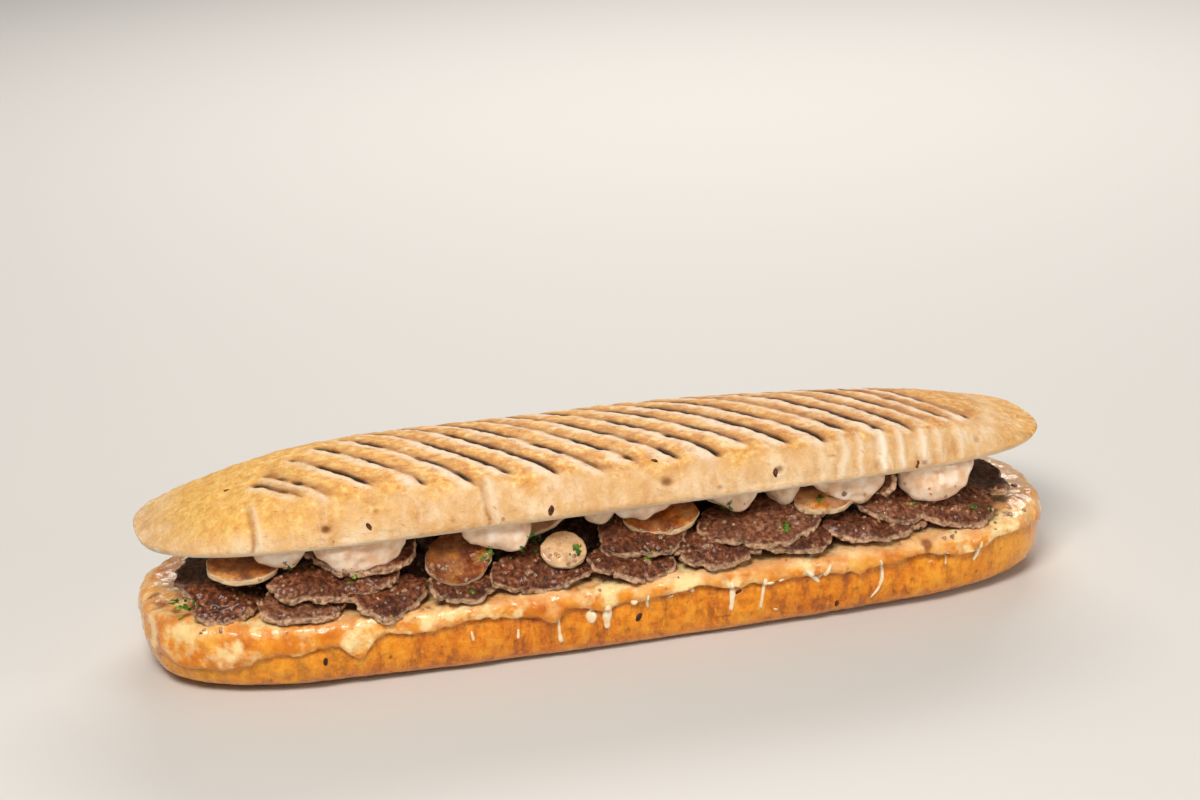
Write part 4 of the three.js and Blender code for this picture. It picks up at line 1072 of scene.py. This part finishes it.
def scattered(name, places, turns, proportions, sizes, rough, lump, material, seed, detail=2):
    """Things of one kind at the given places, in millimetres, turned as given, and of random size. A
    Geometry Nodes tree sets one bead at each place and roughens it by lumps of the given size."""
    layout = bpy.data.node_groups.new(name + "_layout", "GeometryNodeTree")
    sockets = {}
    kinds = {
        "Places": "Geometry", "Smallest": "Float", "Largest": "Float", "Seed": "Int", "Rough": "Float",
        "Detail": "Int", "Material": "Material",
    }
    for label, kind in kinds.items():
        sockets[label] = layout.interface.new_socket(label, in_out="INPUT", socket_type="NodeSocket" + kind)
    layout.interface.new_socket("Geometry", in_out="OUTPUT", socket_type="NodeSocketGeometry")
    given = node(layout, "NodeGroupInput").outputs
    bead = node(layout, "GeometryNodeMeshIcoSphere", {"Radius": 0.5 * MM, "Subdivisions": given["Detail"]})
    shaped = node(layout, "GeometryNodeTransform", {"Geometry": bead.outputs["Mesh"], "Scale": proportions})
    smooth = node(layout, "GeometryNodeSetShadeSmooth", {"Geometry": shaped.outputs["Geometry"]})
    turn = node(layout, "GeometryNodeInputNamedAttribute", {"Name": "turn"}, data_type="FLOAT_VECTOR")
    rotation = node(layout, "FunctionNodeEulerToRotation", {"Euler": turn.outputs["Attribute"]})
    size = node(layout, "FunctionNodeRandomValue", {
        2: given["Smallest"], 3: given["Largest"], "Seed": given["Seed"],
    })
    placed = node(layout, "GeometryNodeInstanceOnPoints", {
        "Points": given["Places"], "Instance": smooth.outputs["Geometry"],
        "Rotation": rotation.outputs["Rotation"], "Scale": size.outputs[1],
    })
    real = node(layout, "GeometryNodeRealizeInstances", {"Geometry": placed.outputs["Instances"]})
    spot = node(layout, "GeometryNodeInputPosition").outputs["Position"]
    wobble = node(layout, "ShaderNodeTexNoise", {"Vector": spot, "Scale": 1 / (lump * MM), "Detail": 2.0})
    middle = {0: wobble.outputs["Color"], 1: (0.5, 0.5, 0.5)}
    centred = node(layout, "ShaderNodeVectorMath", middle, operation="SUBTRACT")
    amount = {0: centred.outputs["Vector"], "Scale": given["Rough"]}
    grown = node(layout, "ShaderNodeVectorMath", amount, operation="SCALE")
    moved = node(layout, "GeometryNodeSetPosition", {
        "Geometry": real.outputs["Geometry"], "Offset": grown.outputs["Vector"],
    })
    covered = node(layout, "GeometryNodeSetMaterial", {
        "Geometry": moved.outputs["Geometry"], "Material": given["Material"],
    })
    node(layout, "NodeGroupOutput", {"Geometry": covered.outputs["Geometry"]})

    points = bpy.data.meshes.new(name + "_places")
    points.from_pydata([tuple(place * MM) for place in places], [], [])
    layer = points.attributes.new("turn", "FLOAT_VECTOR", "POINT")
    layer.data.foreach_set("vector", np.asarray(turns, np.float32).ravel())
    holder = put(name + "_holder", points)
    spread = holder.modifiers.new("layout", "NODES")
    spread.node_group = layout
    chosen = {
        "Smallest": sizes[0], "Largest": sizes[1], "Seed": seed, "Rough": rough * MM, "Detail": detail,
        "Material": material,
    }
    for label, value in chosen.items():
        spread[sockets[label].identifier] = value
    ready = holder.evaluated_get(bpy.context.evaluated_depsgraph_get())
    mesh = bpy.data.meshes.new_from_object(ready)
    bpy.data.objects.remove(holder)
    mesh.name = name
    whole = put(name, mesh)
    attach(whole, "root")
    return whole


search_of = {piece: search_tree(piece) for piece in (*filling, bottom, sheet, lid)}
searches = list(search_of.values())
dice = np.random.default_rng(77)


def land(x, z, among, side):
    """Where something thrown at one side of the roll comes to rest, and the way up there."""
    start = Vector((THROW.x, side * THROW.y, THROW.z))
    ahead = (Vector((x, NEAR_FACE * side, z)) - start).normalized()
    found = [search.ray_cast(start, ahead) for search in among]
    found = [hit for hit in found if hit[0] is not None]
    return min(found, key=lambda hit: hit[3])[:2] if found else None


def settle(among, sunk, near, far=()):
    """Places and turns for things thrown at each (x, z, spread, count), from the near or far side."""
    places, turns = [], []
    for side, (x, z, spread, count) in [(1, target) for target in near] + [(-1, target) for target in far]:
        for _ in range(count):
            across, upward = dice.normal(0, 0.5, 2) * spread
            spin = dice.uniform(0, 2 * math.pi)
            rest = land(x + across, z + upward, among, side)
            if rest:
                places.append(rest[0] - rest[1] * sunk)
                turn = rest[1].to_track_quat("Z", "Y") @ Quaternion((0, 0, 1), spin)
                turns.append(tuple(turn.to_euler()))
    return places, turns


# Parsley: dark to fresh green in small clouds, dull as a dry leaf.
parsley, tree, surface = new_material("chopped parsley")
[cloud] = clouds(tree, (1.5, 3.0, 0.55))
leafy = told(tree, (cloud, ((0.35, "#2a4410"), (0.52, "#557c20"), (0.7, "#93b446"))))
fill(tree, surface, {"Base Color": leafy, "Roughness": 0.45})
far = [(x, 33.0, 4.0, 6) for x in (-95, -40, 10, 52, 100)]
places, turns = settle(searches, 0.0, PARSLEY, far)
scattered("parsley_flakes", places, turns, (2.2, 1.4, 0.45), (0.5, 1.1), 2.4, 1.2, parsley, 5)

near = [(x, z, 6.0, 3) for x in range(-120, 125, 9) for z in (25.0, 33.0)]
far = [(x, 30.0, 8.0, 4) for x in range(-110, 115, 11)]
places, turns = settle(searches, CRUMB_SUNK, near, far)
loose = scattered("meat_crumbs", places, turns, (1.3, 1.0, 0.8), (0.5, 1.5), 1.2, 0.9, meat, 6)
paint(loose, "rim", np.full(len(loose.data.vertices), 0.6))
paint(loose, "tone", np.full(len(loose.data.vertices), 0.5))

# Fat: clear and faintly golden, so that each bead is a small bright spark.
fat, tree, surface = new_material("beads of fat")
fill(tree, surface, {
    "Base Color": linear("#f0c890"), "Roughness": 0.06, "Transmission Weight": 0.7, "IOR": 1.46,
})
everywhere = [(x, z, 7.0, 2) for x in range(-118, 122, 9) for z in (27.0, 35.0)]
places, turns = settle(searches, 0.0, (*FAT, *everywhere))
scattered("fat_beads", places, turns, (1.3, 1.3, 0.8), (0.5, 1.2), 0.1, 1.0, fat, 7)

# Charred seeds: nearly black to warm brown, dull, so that they read as dark specks in the crust.
seed_coat, tree, surface = new_material("charred seeds")
[cloud] = clouds(tree, (1.2, 3.0, 0.55))
husk = told(tree, (cloud, ((0.35, "#2f140a"), (0.55, "#5f3216"), (0.75, "#8e5a2c"))))
fill(tree, surface, {"Base Color": husk, "Roughness": 0.5})
lid_places, lid_turns = settle([search_of[lid]], SEED_SUNK, [(x, z, 0.0, 1) for x, z in LID_SEEDS])
bun_places, bun_turns = settle([search_of[bottom]], SEED_SUNK, [(x, z, 0.0, 1) for x, z in BUN_SEEDS])
places, turns = lid_places + bun_places, lid_turns + bun_turns
scattered("crust_seeds", places, turns, (3.0, 1.7, 0.9), (0.7, 1.1), 0.5, 1.4, seed_coat, 8, 3)
